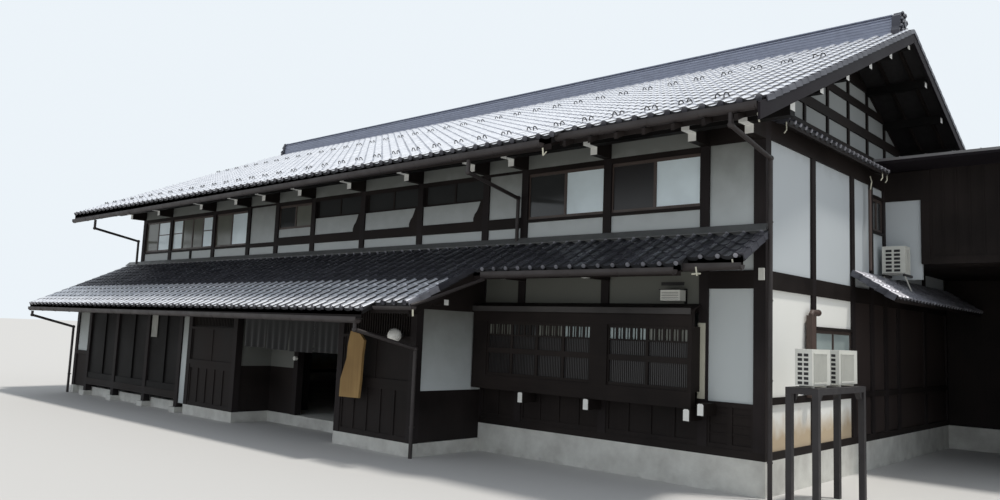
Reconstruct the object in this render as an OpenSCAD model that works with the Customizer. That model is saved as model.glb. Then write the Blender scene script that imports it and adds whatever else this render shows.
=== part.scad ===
/* [Plan] */
// Bay widths along the front, post centre to post centre, from the right corner
front_bays = [870, 1770, 1780, 950, 1810, 1830, 1810, 1480, 1260, 1720, 2390, 1660]; // [600:10:2600]
// Bay widths along the gable, from the front corner to the back
gable_bays = [1675, 1735, 955, 745, 750, 1740, 1670]; // [600:10:2400]
// Bay widths of the low wing's front, from its right corner
wing_bays = [1970, 3670, 1950, 450, 1650, 1750, 1700, 820]; // [400:10:3800]
// How far the low wing stands in front of the main wall
wing_d = 1640; // [1400:10:1900]
// Depth of the entrance recess in the wing
porch_d = 900; // [700:10:1200]
// Width of the doorway at the back of the recess
door_w = 1780; // [900:10:1900]
// Projection of the lattice bay in front of the main wall
bay_d = 265; // [180:5:400]
// Length of the rear wing beyond the gable
rear_wing_l = 3640; // [2400:10:4600]

/* [Timber] */
// Side of the wall posts
post_w = 150; // [120:5:180]
// Side of the corner posts
corner_w = 180; // [150:5:210]
// Thickness of the plaster and boarded walls
wall_t = 80; // [60:5:100]
// How far the walls are set back from the posts' outer face
set_back = 35; // [20:5:45]
// Height of the ground sill
sill_h = 110; // [90:5:140]
// Thickness of window sashes and shutters
sash_t = 36; // [25:1:50]
// Width of the sash members
sash_w = 50; // [35:1:70]
// Thickness of the window glass
glass_t = 5; // [3:1:8]
// Width of a rafter
rafter_w = 50; // [40:5:70]
// Depth of a rafter, measured upright
rafter_h = 85; // [60:5:110]
// Spacing of the rafters
rafter_gap = 455; // [400:5:600]
// Width of the lattice bars
bar_w = 22; // [16:1:30]
// Spacing of the lattice bars
bar_gap = 64; // [50:1:90]

/* [Levels] */
// Top of the stone base under the main walls
base_top = 490; // [300:10:560]
// Top of the plinth and floor of the wing
plinth_top = 220; // [120:10:280]
// Top of the boarded dado on the main walls
dado_top = 1250; // [1180:10:1400]
// Bottom of the floor girder
girder_bot = 2875; // [2800:5:2950]
// Top of the floor girder
girder_top = 3135; // [3050:5:3300]
// Where the lower roofs meet the front wall
skirt_top = 3730; // [3600:10:3800]
// Underside of the beam over the upper windows
plate_bot = 5050; // [5000:10:5150]
// Height from there to the underside of the wall plate
plate_h = 350; // [250:10:450]

/* [Main roof] */
// Overhang of the main eaves
eave_d = 1725; // [1300:5:2000]
// Height of the roof's edge at the main eaves
eave_z = 5040; // [4950:5:5150]
// Rise of the main roof for each unit of run
pitch = 0.445; // [0.4:0.005:0.5]
// Overhang of the roof past the gables
verge_d = 695; // [400:5:900]
// Thickness of the boarded and tiled roof, measured upright
roof_t = 110; // [80:5:140]
// Spacing of the purlins that carry the roof
purlin_gap = 1050; // [950:10:1100]
// How far the gable's triangle stands behind the wall below it
gable_in = 480; // [380:10:560]
// Height of the ridge stack above the roof
ridge_h = 330; // [260:10:420]
// Thickness of the ridge stack
ridge_w = 320; // [240:10:400]

/* [Lower roofs] */
// Overhang of the wing's roof, from the main wall
wing_eave = 2665; // [2400:5:2900]
// Height of the wing's eave
wing_eave_z = 2400; // [2300:5:2450]
// Overhang of the roof over the lattice bay
pent_eave = 1035; // [800:5:1200]
// Height of that roof's eave
pent_eave_z = 3140; // [3050:5:3250]
// Thickness of the lower roofs, measured upright
low_roof_t = 90; // [70:5:110]

/* [Hidden] */

function sum_to(v, n) = n <= 0 ? 0 : v[n - 1] + sum_to(v, n - 1);
n_front = len(front_bays);
n_gable = len(gable_bays);
house_l = sum_to(front_bays, n_front) + corner_w;
house_d = sum_to(gable_bays, n_gable) + corner_w;
half_d = house_d / 2;
front_last = 4;
rear_wing_first = 4;

// Centres of the front posts, from the right corner
function post_x(i) = -corner_w / 2 - sum_to(front_bays, i);
// Centres of the gable posts, from the front corner
function post_y(i) = corner_w / 2 + sum_to(gable_bays, i);
// Centres of the wing's front posts, from its right corner
function wing_x(i) = post_x(front_last) - sum_to(wing_bays, i);
function front_w(i) = i == 0 || i == n_front ? corner_w : post_w;
function gable_w(i) = i == 0 || i == n_gable ? corner_w : post_w;
// The free width of a bay, between its posts
function front_lo(i) = post_x(i) + front_w(i) / 2;
function front_hi(i) = post_x(i - 1) - front_w(i - 1) / 2;
function gable_lo(i) = post_y(i - 1) + gable_w(i - 1) / 2;
function gable_hi(i) = post_y(i) - gable_w(i) / 2;
function wing_lo(i) = wing_x(i) + post_w / 2;
function wing_hi(i) = wing_x(i - 1) - post_w / 2;

// Heights of the roofs' upper faces, and of the rafters' undersides
function main_z(y) = eave_z + pitch * (eave_d + min(y, house_d - y));
flashing_h = 60;
low_rafter_h = 70;
wing_slope = (skirt_top - flashing_h - wing_eave_z) / wing_eave;
pent_slope = (skirt_top - flashing_h - pent_eave_z) / pent_eave;
function wing_z(y) = wing_eave_z + wing_slope * (wing_eave + y);
function pent_z(y) = pent_eave_z + pent_slope * (pent_eave + y);
function under_rafters(y) = main_z(y) - roof_t - rafter_h;
function under_wing(y) = wing_z(y) - low_roof_t - low_rafter_h;
apex_z = main_z(half_d);
course = 215;
board_t = 35;
fascia_t = 25;

// Main walls
joint = 5;
sill_top = base_top + sill_h;
plate_under = plate_bot + plate_h;
frieze_bot = plate_bot + post_w;
rail_h = 100;
dado_rail = dado_top + rail_h;
band_bot = 3980;
band_top = 4170;
upper_sill = 4120;
low_sill = 4060;
head_rail = 110;
upper_head = plate_bot - head_rail;
clerestory_bot = 4550;
clerestory_in = 90;
small_sill = 4370;
lower_head = 2350;
gable_sill = 4240;
gable_head = 4850;
strut_w = 80;

// Lattice bay on the front
shelf_z = 2650;
bay_header = 2530;
bay_head = 2310;
bay_sill = 1370;
bay_under = 1130;
over_bay = girder_top + 245;
joist_w = 130;
joist_h = 170;
joist_out = 65;
bay_left = post_x(front_last) + post_w / 2;
bay_right = post_x(1) - 40;
pier_lo = post_x(2) - 80;
pier_hi = post_x(2) + 250;
bay_end = 335;
cheek_t = 60;
shelf_out = 35;
shelf_t = 30;

// Low wing
wing_y = -wing_d;
wing_in = wing_y + post_w;
wing_rail = 1190;
return_rail = 1080;
lattice_sill = 1980;
shutter_in = 50;
shutter_sill = 470;
shutter_head = 2400;
wing_beam_h = 160;
wing_beam_bot = under_wing(wing_y) - wing_beam_h;
recess_y = wing_y + porch_d;
recess_lo = wing_x(2) + wall_t / 2;
recess_hi = wing_x(1) - wall_t / 2;
door_lo = wing_x(2) + 1105;
door_hi = door_lo + door_w;
door_head = 2300;
door_beam_h = 160;
pole_z = 2320;
pole_d = 36;
curtain_n = 4;
curtain_w = 820;
curtain_lo = wing_x(2) + post_w / 2 + 270;
curtain_z = 1580;

// Roof edges
wing_verge_r = bay_left + 685;
wing_verge_l = -house_l - 690;
wing_step = bay_left - 215;
pent_verge = 50;
pent_step = -760;
main_step = post_x(2) + 170;
purlin_lo = -580;
purlin_hi = -430;
purlin_bot = 5150;
purlin_end = 600;
gable_purlin_w = 120;
gable_purlin_h = 130;
purlin_n = 4;
bracket_w = 130;
bracket_step = 5150;
bracket_bot = 5025;
bracket_top = 5285;
bracket_short = -400;
bracket_long = -600;

// Narrow roof over each gable wall, and the triangle's rails above it
pent_out = 250;
gable_pent_t = 70;
gable_plate_top = plate_under - 75;
gable_pent_foot = gable_plate_top - pitch * pent_out;
gable_pent_head = gable_pent_foot + pitch * (pent_out + gable_in);
rail_heights = [520, 835, 1020, 1370, 1520, 1790, 1930];
triangle_rails = [[gable_pent_head + gable_pent_t, plate_under + rail_heights[0]],
  for (k = [1, 3, 5]) [plate_under + rail_heights[k], plate_under + rail_heights[k + 1]]];

// Lean-to along the right gable
lean_out = 700;
lean_foot = 2870;
lean_head = 3310;
lean_t = 80;
lean_end = 200;

// Rear wing
rear_y = post_y(rear_wing_first);
rear_eave_y = rear_y - 600;
rear_post = 620;
rear_floor = 3660;
rear_eave_z = 5470;
rear_fall = 0.1;
rear_roof_t = 80;
rear_roof_out = 300;

// Gutters and downpipes
gutter_r = 60;
gutter_wall = 4;
pipe_d = 66;
elbow_d = 90;
main_gutter_y = -eave_d - 125;
main_gutter_lo = eave_z - 230;
main_gutter_hi = eave_z - 120;
main_gutter_end = eave_z;
wing_gutter_y = -wing_eave - 85;
wing_gutter_hi = wing_eave_z - 120;
wing_gutter_lo = wing_eave_z - 170;
pent_gutter_y = -pent_eave - 95;
pent_gutter_lo = pent_eave_z - 90;
pent_gutter_hi = pent_eave_z - 80;
wall_pipe_out = 60;

// Air conditioners on their stand
unit_x = [710, 930];
unit_y = [[-700, -100], [220, 900]];
unit_h = 455;
unit_foot = 30;
stand_x = [600, 1020];
stand_y = [-740, 890];
stand_post = 80;
stand_top = 1570;
small_unit = [400, 300, 510];
small_unit_z = 3450;
small_unit_bar = 40;

// Sashes and joist ends of the lattice bay
bay_groups = [[bay_left + bay_end, pier_lo, 4], [pier_hi, bay_right - cheek_t, 2]];
bay_mid = [1760, 1850];
bay_bars = 2090;
bay_bar_w = 40;
bay_bar_gap = 116;
bay_joists = [[post_x(3) + 340, 0], [post_x(2) - 80, 0], [post_x(1) - 75, 0], [post_x(1) + 150, 95]];

timber = [0.16, 0.13, 0.12];
plaster = [0.80, 0.80, 0.78];
dark_tile = [0.33, 0.34, 0.36];
pale_tile = [0.78, 0.79, 0.81];
brown_metal = [0.33, 0.27, 0.25];
pale_metal = [0.80, 0.80, 0.78];
pale_stone = [0.62, 0.61, 0.58];
window_glass = [0.55, 0.62, 0.66];

// Upper front windows: bay, lights, sill, head
front_windows = [[2, 2, upper_sill, upper_head], [3, 2, upper_sill, upper_head],
  [5, 2, clerestory_bot, plate_bot], [6, 2, clerestory_bot, plate_bot],
  [7, 2, clerestory_bot, plate_bot], [8, 2, small_sill, upper_head],
  [10, 2, low_sill, upper_head], [11, 4, low_sill, upper_head], [12, 2, low_sill, upper_head]];
// Rear windows: bay, lights
rear_windows = [[2, 2], [3, 2], [5, 2], [7, 2], [10, 2], [11, 4]];
function has_window(rows, i) = len([for (w = rows) if (w[0] == i) w]) > 0;

// The house is set out from its front right corner; the origin is the middle of its plan.
module at_corner() translate([house_l / 2, -half_d, 0]) children();

// A box given by its low and its high corner
module span(lo, hi) translate(lo) cube(hi - lo);

// An outline in the Y-Z plane, drawn out from x0 to x1
module along_x(x0, x1, outline)
  translate([x0, 0, 0]) rotate([90, 0, 90]) linear_extrude(x1 - x0) polygon(outline);

// An outline in the X-Z plane, drawn out from y0 to y1
module along_y(y0, y1, outline)
  translate([0, y1, 0]) rotate([90, 0, 0]) linear_extrude(y1 - y0) polygon(outline);

// Places what is drawn for the front on the rear, mirrored about the middle of the plan
module to_rear() translate([0, house_d, 0]) mirror([0, 1, 0]) children();

// Places what is drawn for the right gable on the left one
module to_left() translate([-house_l, 0, 0]) mirror([1, 0, 0]) children();

// Places a row drawn along X, with its face at Y = 0, along the right gable instead
module on_gable() rotate([0, 0, 90]) children();

// A band of plaster or boards in a wall along X
module wall_panel(lo, hi, z0, z1) span([lo, set_back, z0], [hi, set_back + wall_t, z1]);

// A rail between two posts of a wall along X
module wall_rail(lo, hi, z0, z1) span([lo, 0, z0], [hi, post_w, z1]);

// The open parts of a row of framed lights, and the row itself
module lights(x0, x1, z0, z1, count, y0, y1) {
  light_w = (x1 - x0) / count;
  for (i = [0:count - 1])
    span([x0 + i * light_w + sash_w / 2, y0, z0 + sash_w],
      [x0 + (i + 1) * light_w - sash_w / 2, y1, z1 - sash_w]);
}

module sash_row(x0, x1, z0, z1, count, y0) {
  difference() {
    span([x0, y0, z0], [x1, y0 + sash_t, z1]);
    lights(x0, x1, z0, z1, count, y0 - 1, y0 + sash_t + 1);
  }
}

module glass_row(x0, x1, z0, z1, count, y0)
  lights(x0, x1, z0, z1, count, y0 + (sash_t - glass_t) / 2, y0 + (sash_t + glass_t) / 2);

// Base, floors

// The base's straight lengths stand apart by an open joint
module foundation() color(pale_stone) at_corner() {
  base_ring();
  wing_plinth();
  span([joint, house_d - corner_w, 0], [rear_wing_l - corner_w - joint, house_d, base_top]);
  span([rear_wing_l - corner_w, rear_y, 0], [rear_wing_l, house_d, base_top]);
}

module base_ring() {
  span([post_x(front_last) - post_w / 2, 0, 0], [0, corner_w, base_top]);
  span([-house_l, house_d - corner_w, 0], [0, house_d, base_top]);
  for (x = [-house_l, -corner_w])
    span([x, corner_w + joint, 0], [x + corner_w, house_d - corner_w - joint, base_top]);
}

module wing_plinth() {
  for (i = [1, 3])
    span([wing_x(i) - post_w / 2, wing_y, 0], [wing_x(i - 1) + post_w / 2, wing_in, plinth_top]);
  span([bay_left - post_w, wing_in + joint, 0], [bay_left, -joint, plinth_top]);
  span([-house_l, wing_y, 0], [-house_l + post_w, corner_w, plinth_top]);
  for (i = [4:7]) pad_stone(wing_x(i));
}

module pad_stone(x) span([x - 140, wing_y - 70, 0], [x + 140, wing_y + 210, plinth_top - 100]);

module ground_floor() color(pale_stone * 0.8) at_corner()
  span([-house_l + corner_w, corner_w, 0], [-corner_w, house_d - corner_w, plinth_top]);

module wing_floor() color(pale_stone * 0.8) at_corner()
  difference() {
    span([-house_l + post_w, wing_in, 0], [bay_left - post_w, corner_w, plinth_top]);
    span([-house_l, 0, -1], [-house_l + corner_w, corner_w + 1, plinth_top + 1]);
    span([wing_lo(2), wing_y, -1], [wing_hi(2), recess_y - set_back, plinth_top + 1]);
    for (i = [4:7]) span([wing_x(i) - 140, wing_y, -1], [wing_x(i) + 140, wing_y + 210, plinth_top + 1]);
  }

module upper_floor() color([0.40, 0.30, 0.22]) at_corner()
  span([-house_l + corner_w, corner_w, girder_top - 45], [-corner_w, house_d - corner_w, girder_top]);

// Timber frame of the main house

module main_posts() color(timber) at_corner() {
  for (i = [0:n_front]) {
    w = front_w(i);
    foot = i <= front_last ? sill_top : plinth_top;
    span([post_x(i) - w / 2, 0, foot], [post_x(i) + w / 2, w, plate_under]);
    span([post_x(i) - w / 2, house_d - w, sill_top], [post_x(i) + w / 2, house_d, plate_under]);
  }
  for (i = [1:n_gable - 1], x = [-house_l, -post_w])
    span([x, post_y(i) - post_w / 2, sill_top], [x + post_w, post_y(i) + post_w / 2, plate_bot]);
}

module front_beams() color(timber) at_corner() {
  span([post_x(front_last) - post_w / 2, 0, base_top], [0, corner_w, sill_top]);
  span([-house_l, house_d - corner_w, base_top], [0, house_d, sill_top]);
  for (i = [1:n_front]) {
    if (i > 1 && i <= front_last) front_rail(i, girder_top, over_bay);
    else front_rail(i, girder_bot, girder_top);
    front_rail(i, plate_bot, frieze_bot);
    to_rear() front_rail(i, girder_bot, girder_top);
    to_rear() front_rail(i, plate_bot, frieze_bot);
    to_rear() front_rail(i, dado_top, dado_rail);
  }
  for (i = [2:front_last]) {
    front_rail(i, bay_header, shelf_z);
    front_rail(i, bay_under, bay_sill);
  }
  for (i = [4:8]) front_rail(i, band_bot, band_top);
  front_rail(9, band_bot, band_bot + rail_h);
  for (w = front_windows) {
    if (w[2] < band_top) front_rail(w[0], w[2] - rail_h / 2, w[2]);
    if (w[3] < plate_bot) front_rail(w[0], w[3], plate_bot);
  }
  for (w = rear_windows) to_rear() {
    front_rail(w[0], lower_head, lower_head + rail_h / 2);
    front_rail(w[0], low_sill - rail_h / 2, low_sill);
    front_rail(w[0], upper_head, plate_bot);
  }
  wall_plate();
  to_rear() wall_plate();
}

module front_rail(i, z0, z1) wall_rail(front_lo(i), front_hi(i), z0, z1);

// The plate that carries the rafters
module wall_plate()
  along_x(-house_l, 0, [[0, plate_under], [post_w, plate_under], [post_w, under_rafters(post_w)],
    [0, under_rafters(0)]]);

module side_beams() color(timber) at_corner() {
  gable_beams();
  to_left() gable_beams();
}

module gable_beams() {
  span([-post_w, corner_w, base_top], [0, house_d - corner_w, sill_top]);
  for (i = [1:n_gable]) on_gable() {
    wall_rail(gable_lo(i), gable_hi(i), girder_bot, girder_top);
    wall_rail(gable_lo(i), gable_hi(i), dado_top, dado_rail);
  }
  on_gable() {
    wall_rail(gable_lo(2), gable_hi(2), lower_head, lower_head + rail_h / 2);
    wall_rail(gable_lo(4), gable_hi(4), gable_sill - rail_h / 2, gable_sill);
    wall_rail(gable_lo(4), gable_hi(4), gable_head, gable_head + rail_h / 2);
  }
  span([-post_w, corner_w, plate_bot], [0, house_d - corner_w, gable_plate_top]);
}

module gable_struts() color(timber) at_corner() {
  gable_frame();
  to_left() gable_frame();
}

// Where the rafters' undersides reach a height, inside the triangle's frame
function rafters_at(z) = max(post_w, (z - eave_z + roof_t + rafter_h) / pitch - eave_d);

// The timbers of a gable's triangle, which stands behind the narrow roof on the wall below
module gable_frame() {
  back = -gable_in - post_w;
  span([back, post_w, plate_bot], [-gable_in, house_d - post_w, plate_under]);
  for (k = [1 - purlin_n:purlin_n - 1]) gable_strut(back, half_d + k * purlin_gap);
  for (r = triangle_rails)
    along_x(back, -gable_in, [[rafters_at(r[0]), r[0]], [house_d - rafters_at(r[0]), r[0]],
      [house_d - rafters_at(r[1]), r[1]], [rafters_at(r[1]), r[1]]]);
}

module gable_strut(back, y)
  span([back, y - strut_w / 2, plate_under],
    [-gable_in, y + strut_w / 2, min(under_rafters(y - strut_w / 2), under_rafters(y + strut_w / 2))]);

// The wall of the triangle between two heights, without its frame
module gable_triangle(z0, z1) {
  face = -gable_in - set_back;
  difference() {
    intersection() {
      along_x(face - wall_t, face, [[post_w, plate_under], [house_d - post_w, plate_under],
        [house_d - post_w, under_rafters(post_w)], [half_d, under_rafters(half_d)],
        [post_w, under_rafters(post_w)]]);
      span([face - wall_t, 0, z0], [face, house_d, z1]);
    }
    gable_frame();
  }
}

// Plaster and boards

module front_plaster() color(plaster) at_corner() {
  wall_panel(front_lo(1), front_hi(1), dado_top, girder_bot);
  for (i = [1:n_front]) {
    wall_panel(front_lo(i), front_hi(i), frieze_bot, plate_under);
    if (i > 1 && i <= front_last) {
      wall_panel(front_lo(i), front_hi(i), shelf_z, girder_top);
      wall_panel(front_lo(i), front_hi(i), over_bay, i == front_last ? band_bot : upper_sill - rail_h / 2);
    }
    if (i > front_last && i <= 9) wall_panel(front_lo(i), front_hi(i), girder_top, band_bot);
    if (i > 9) wall_panel(front_lo(i), front_hi(i), girder_top, low_sill - rail_h / 2);
  }
  wall_panel(front_lo(1), front_hi(1), girder_top, plate_bot);
  wall_panel(front_lo(4), front_hi(4), band_top, plate_bot);
  for (i = [5:7]) wall_panel(front_lo(i), front_hi(i), band_top, clerestory_bot);
  wall_panel(front_lo(8), front_hi(8), band_top, small_sill);
  wall_panel(front_lo(9), front_hi(9), band_bot + rail_h, plate_bot);
}

module side_plaster() color(plaster) at_corner() {
  gable_plaster();
  to_left() gable_plaster();
  span([0, rear_y + set_back, over_bay], [rear_post, rear_y + set_back + wall_t, gable_head]);
}

module gable_plaster() {
  for (i = [1:n_gable]) on_gable() {
    wall_panel(gable_lo(i), gable_hi(i), i == 2 ? lower_head + rail_h / 2 : dado_rail, girder_bot);
    wall_panel(gable_lo(i), gable_hi(i), girder_top, i == 4 ? gable_sill - rail_h / 2 : plate_bot);
    if (i == 4) wall_panel(gable_lo(i), gable_hi(i), gable_head + rail_h / 2, plate_bot);
    wall_panel(gable_lo(i), gable_hi(i), sill_top, dado_top);
  }
  gable_triangle(plate_under, triangle_rails[3][0]);
}

module rear_plaster() color(plaster) at_corner() to_rear()
  for (i = [1:n_front]) {
    glazed = has_window(rear_windows, i);
    wall_panel(front_lo(i), front_hi(i), frieze_bot, plate_under);
    wall_panel(front_lo(i), front_hi(i), glazed ? lower_head + rail_h / 2 : dado_rail, girder_bot);
    wall_panel(front_lo(i), front_hi(i), girder_top, glazed ? low_sill - rail_h / 2 : plate_bot);
  }

module wall_boards() color(timber * 1.3) at_corner() {
  wall_panel(front_lo(1), front_hi(1), sill_top, dado_top);
  for (i = [2:front_last]) wall_panel(front_lo(i), front_hi(i), sill_top, bay_under);
  for (i = [1:n_front]) to_rear() wall_panel(front_lo(i), front_hi(i), sill_top, dado_top);
  gable_triangle(triangle_rails[3][1], apex_z);
  to_left() gable_triangle(triangle_rails[3][1], apex_z);
  wing_boards();
}

module wing_boards() {
  for (i = [1, 3]) {
    wing_panel(i, plinth_top, wing_rail - rail_h / 2);
    wing_panel(i, wing_rail + rail_h / 2, lattice_sill - rail_h / 2);
  }
  wing_panel(8, plinth_top, return_rail);
  side_panel(bay_left - set_back - wall_t, wing_in, 0, plinth_top, return_rail);
  side_panel(-house_l + set_back, wing_in, 0, plinth_top, return_rail);
  for (i = [1, 2]) side_panel(wing_x(i) - wall_t / 2, wing_in, recess_y + wall_t, plinth_top, wing_rail);
  span([recess_lo, recess_y, plinth_top], [door_lo - post_w, recess_y + wall_t, wing_rail]);
  span([door_hi + post_w, recess_y, plinth_top], [recess_hi, recess_y + wall_t, wing_rail]);
}

// A panel in bay i of the wing's front, and one in a wall that runs back from it
module wing_panel(i, z0, z1) translate([0, wing_y, 0]) wall_panel(wing_lo(i), wing_hi(i), z0, z1);
module side_panel(x0, y0, y1, z0, z1) span([x0, y0, z0], [x0 + wall_t, y1, z1]);

// The same wall above its rail, up to the rafters
module side_gable(x0, y0, y1, z0)
  along_x(x0, x0 + wall_t, [[y0, z0], [y1, z0], [y1, under_wing(y1)], [y0, under_wing(y0)]]);

// Windows

module upper_sashes() color(brown_metal) at_corner() {
  for (w = front_windows) sash_row(front_lo(w[0]), front_hi(w[0]), w[2], w[3], w[1], sash_y(w));
  for (w = rear_windows) to_rear()
    sash_row(front_lo(w[0]), front_hi(w[0]), low_sill, upper_head, w[1], set_back);
  gable_window(gable_sill, gable_head, 4, 2);
  to_left() gable_window(gable_sill, gable_head, 4, 2);
}

function sash_y(w) = w[2] == clerestory_bot ? clerestory_in : set_back;

module gable_window(z0, z1, bay, count)
  on_gable() sash_row(gable_lo(bay), gable_hi(bay), z0, z1, count, set_back);

module gable_glass(z0, z1, bay, count)
  on_gable() glass_row(gable_lo(bay), gable_hi(bay), z0, z1, count, set_back);

module upper_glass() color(window_glass) at_corner() {
  for (w = front_windows) glass_row(front_lo(w[0]), front_hi(w[0]), w[2], w[3], w[1], sash_y(w));
  for (w = rear_windows) to_rear()
    glass_row(front_lo(w[0]), front_hi(w[0]), low_sill, upper_head, w[1], set_back);
  gable_glass(gable_sill, gable_head, 4, 2);
  to_left() gable_glass(gable_sill, gable_head, 4, 2);
}

module lower_sashes() color(brown_metal) at_corner() {
  for (w = rear_windows) to_rear()
    sash_row(front_lo(w[0]), front_hi(w[0]), dado_rail, lower_head, w[1], set_back);
  gable_window(dado_rail, lower_head, 2, 2);
  to_left() gable_window(dado_rail, lower_head, 2, 2);
}

module lower_glass() color(window_glass) at_corner() {
  for (w = rear_windows) to_rear()
    glass_row(front_lo(w[0]), front_hi(w[0]), dado_rail, lower_head, w[1], set_back);
  gable_glass(dado_rail, lower_head, 2, 2);
  to_left() gable_glass(dado_rail, lower_head, 2, 2);
}

// Lattice bay: a box on joist ends in front of the wall, with sliding lattices

module lattice_bay() color(timber * 1.2) at_corner() {
  front = -bay_d;
  span([bay_left, front, bay_under], [bay_right, front + 120, bay_sill]);
  span([bay_left, front + 120, bay_under], [bay_right, 0, bay_under + 30]);
  along_x(bay_left, bay_right, [[front, bay_head], [front + 90, bay_head],
    [front + 90, shelf_under(front + 90)], [front, shelf_under(front)]]);
  along_x(bay_left, bay_right, [[front - shelf_out, shelf_under(front - shelf_out)], [0, shelf_z - shelf_t],
    [0, shelf_z], [front - shelf_out, shelf_under(front - shelf_out) + shelf_t]]);
  span([bay_left, front, bay_sill], [bay_left + bay_end, front + 90, bay_head]);
  span([pier_lo, front, bay_sill], [pier_hi, front + 90, bay_head]);
  for (x = [bay_left, bay_right - cheek_t]) span([x, front, bay_sill], [x + cheek_t, 0, bay_head]);
  for (j = bay_joists)
    translate([j[0] - joist_w / 2, front - joist_out, bay_under - joist_h + j[1]])
      cube([joist_w, joist_out + bay_d, joist_h]);
}

function shelf_under(y) = shelf_z - shelf_t + y * (shelf_z - bay_header) / (bay_d + shelf_out);

// Sashes with a middle rail and a short lattice of upright bars above
module bay_sashes() color(timber * 1.5) at_corner()
  for (g = bay_groups) {
    y0 = 30 - bay_d;
    w = (g[1] - g[0]) / g[2];
    sash_row(g[0], g[1], bay_sill, bay_head, g[2], y0);
    for (i = [0:g[2] - 1]) {
      lo = g[0] + i * w + sash_w / 2;
      hi = lo + w - sash_w;
      span([lo, y0, bay_mid[0]], [hi, y0 + sash_t, bay_mid[1]]);
      span([lo, y0, bay_bars - 25], [hi, y0 + sash_t, bay_bars]);
      n = floor((hi - lo) / bay_bar_gap);
      for (k = [1:n - 1])
        translate([lo + k * (hi - lo) / n - bay_bar_w / 2, y0 + 5, bay_bars])
          cube([bay_bar_w, bay_bar_w / 2, bay_head - sash_w - bay_bars]);
    }
  }

module bay_glass() color(window_glass) at_corner()
  for (g = bay_groups)
    span([g[0], 30 + sash_t - bay_d, bay_sill], [g[1], 30 + sash_t + glass_t - bay_d, bay_head]);

// Low wing

module wing_posts() color(timber) at_corner() {
  for (i = [0:8]) {
    foot = i >= 4 && i <= 7 ? plinth_top - 100 : plinth_top;
    span([max(-house_l, wing_x(i) - post_w / 2), wing_y, foot],
      [wing_x(i) + post_w / 2, wing_in, wing_beam_bot]);
  }
  for (x = [door_lo - post_w, door_hi])
    span([x, recess_y - set_back, plinth_top], [x + post_w, recess_y - set_back + post_w, door_head]);
}

module wing_beams() color(timber) at_corner() {
  along_x(-house_l, bay_left, [[wing_y, wing_beam_bot], [wing_in, wing_beam_bot],
    [wing_in, under_wing(wing_in)], [wing_y, under_wing(wing_y)]]);
  for (i = [1, 3]) {
    wing_bar(i, wing_rail - rail_h / 2, wing_rail + rail_h / 2);
    wing_bar(i, lattice_sill - rail_h / 2, lattice_sill);
  }
  for (i = [5:7]) {
    wing_bar(i, shutter_sill - 170, shutter_sill);
    wing_bar(i, shutter_head, wing_beam_bot);
  }
  wing_bar(8, return_rail, return_rail + rail_h);
  span([recess_lo, recess_y - set_back, door_head],
    [recess_hi, recess_y - set_back + post_w, door_head + door_beam_h]);
  translate([wing_lo(2), wing_y + 40, pole_z]) rotate([0, 90, 0])
    cylinder(d = pole_d, h = wing_hi(2) - wing_lo(2));
}

module wing_bar(i, z0, z1) span([wing_lo(i), wing_y, z0], [wing_hi(i), wing_in, z1]);

module wing_plaster() color(plaster) at_corner() {
  wing_panel(4, plinth_top, wing_beam_bot);
  wing_panel(8, return_rail + rail_h, wing_beam_bot);
  side_gable(bay_left - set_back - wall_t, wing_in, 0, return_rail);
  side_gable(-house_l + set_back, wing_in, 0, return_rail);
  for (i = [1, 2]) side_gable(wing_x(i) - wall_t / 2, wing_in, recess_y + wall_t, wing_rail);
  span([recess_lo, recess_y, wing_rail], [door_lo - post_w, recess_y + wall_t, door_head]);
  span([door_hi + post_w, recess_y, wing_rail], [recess_hi, recess_y + wall_t, door_head]);
  over_door = door_head + door_beam_h;
  along_x(recess_lo, recess_hi, [[recess_y, over_door], [recess_y + wall_t, over_door],
    [recess_y + wall_t, under_wing(recess_y + wall_t)], [recess_y, under_wing(recess_y)]]);
}

module storm_shutters() color(timber * 1.2) at_corner()
  for (i = [5:7]) {
    mid = (wing_lo(i) + wing_hi(i)) / 2;
    y0 = wing_y + shutter_in;
    span([wing_lo(i), y0, shutter_sill], [mid + 40, y0 + sash_t, shutter_head]);
    span([mid - 40, y0 + sash_t, shutter_sill], [wing_hi(i), y0 + 2 * sash_t, shutter_head]);
  }

module wing_lattices() color(timber * 1.3) at_corner()
  for (i = [1, 3]) {
    lo = wing_lo(i);
    n = floor((wing_hi(i) - lo) / bar_gap);
    step = (wing_hi(i) - lo) / n;
    for (z = [lattice_sill, wing_beam_bot - 30])
      span([lo, wing_y + shutter_in, z], [wing_hi(i), wing_y + shutter_in + 30, z + 30]);
    for (k = [0:n - 1])
      span([lo + (k + 0.5) * step - bar_w / 2, wing_y + shutter_in, lattice_sill],
        [lo + (k + 0.5) * step + bar_w / 2, wing_y + shutter_in + 30, wing_beam_bot]);
  }

module entrance_curtain() color([0.22, 0.23, 0.26]) at_corner()
  for (k = [0:curtain_n - 1])
    translate([curtain_lo + k * curtain_w, wing_y + 37, curtain_z])
      cube([curtain_w - 6, 6, pole_z - pole_d / 2 - curtain_z]);

module sign_plank() color([0.62, 0.50, 0.33]) at_corner()
  translate([wing_x(1) + 290, wing_y - 190, 870])
    along_y(0, 50, [[0, 0], [540, 10], [575, 330], [585, 770], [620, 1010], [500, 1120], [230, 1170],
      [165, 910], [155, 690], [10, 310]]);

module lamps() color([0.92, 0.90, 0.84]) at_corner() {
  translate([wing_x(0) - 300, wing_y - 160, 1995]) sphere(d = 240);
  translate([wing_x(0) - 300, wing_y + 1, 1995]) rotate([90, 0, 0]) cylinder(d = 60, h = 120);
  translate([door_lo - 60, recess_y - set_back, 1400]) rotate([90, 0, 0]) cylinder(d = 90, h = 60);
}

// Roofs

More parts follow.
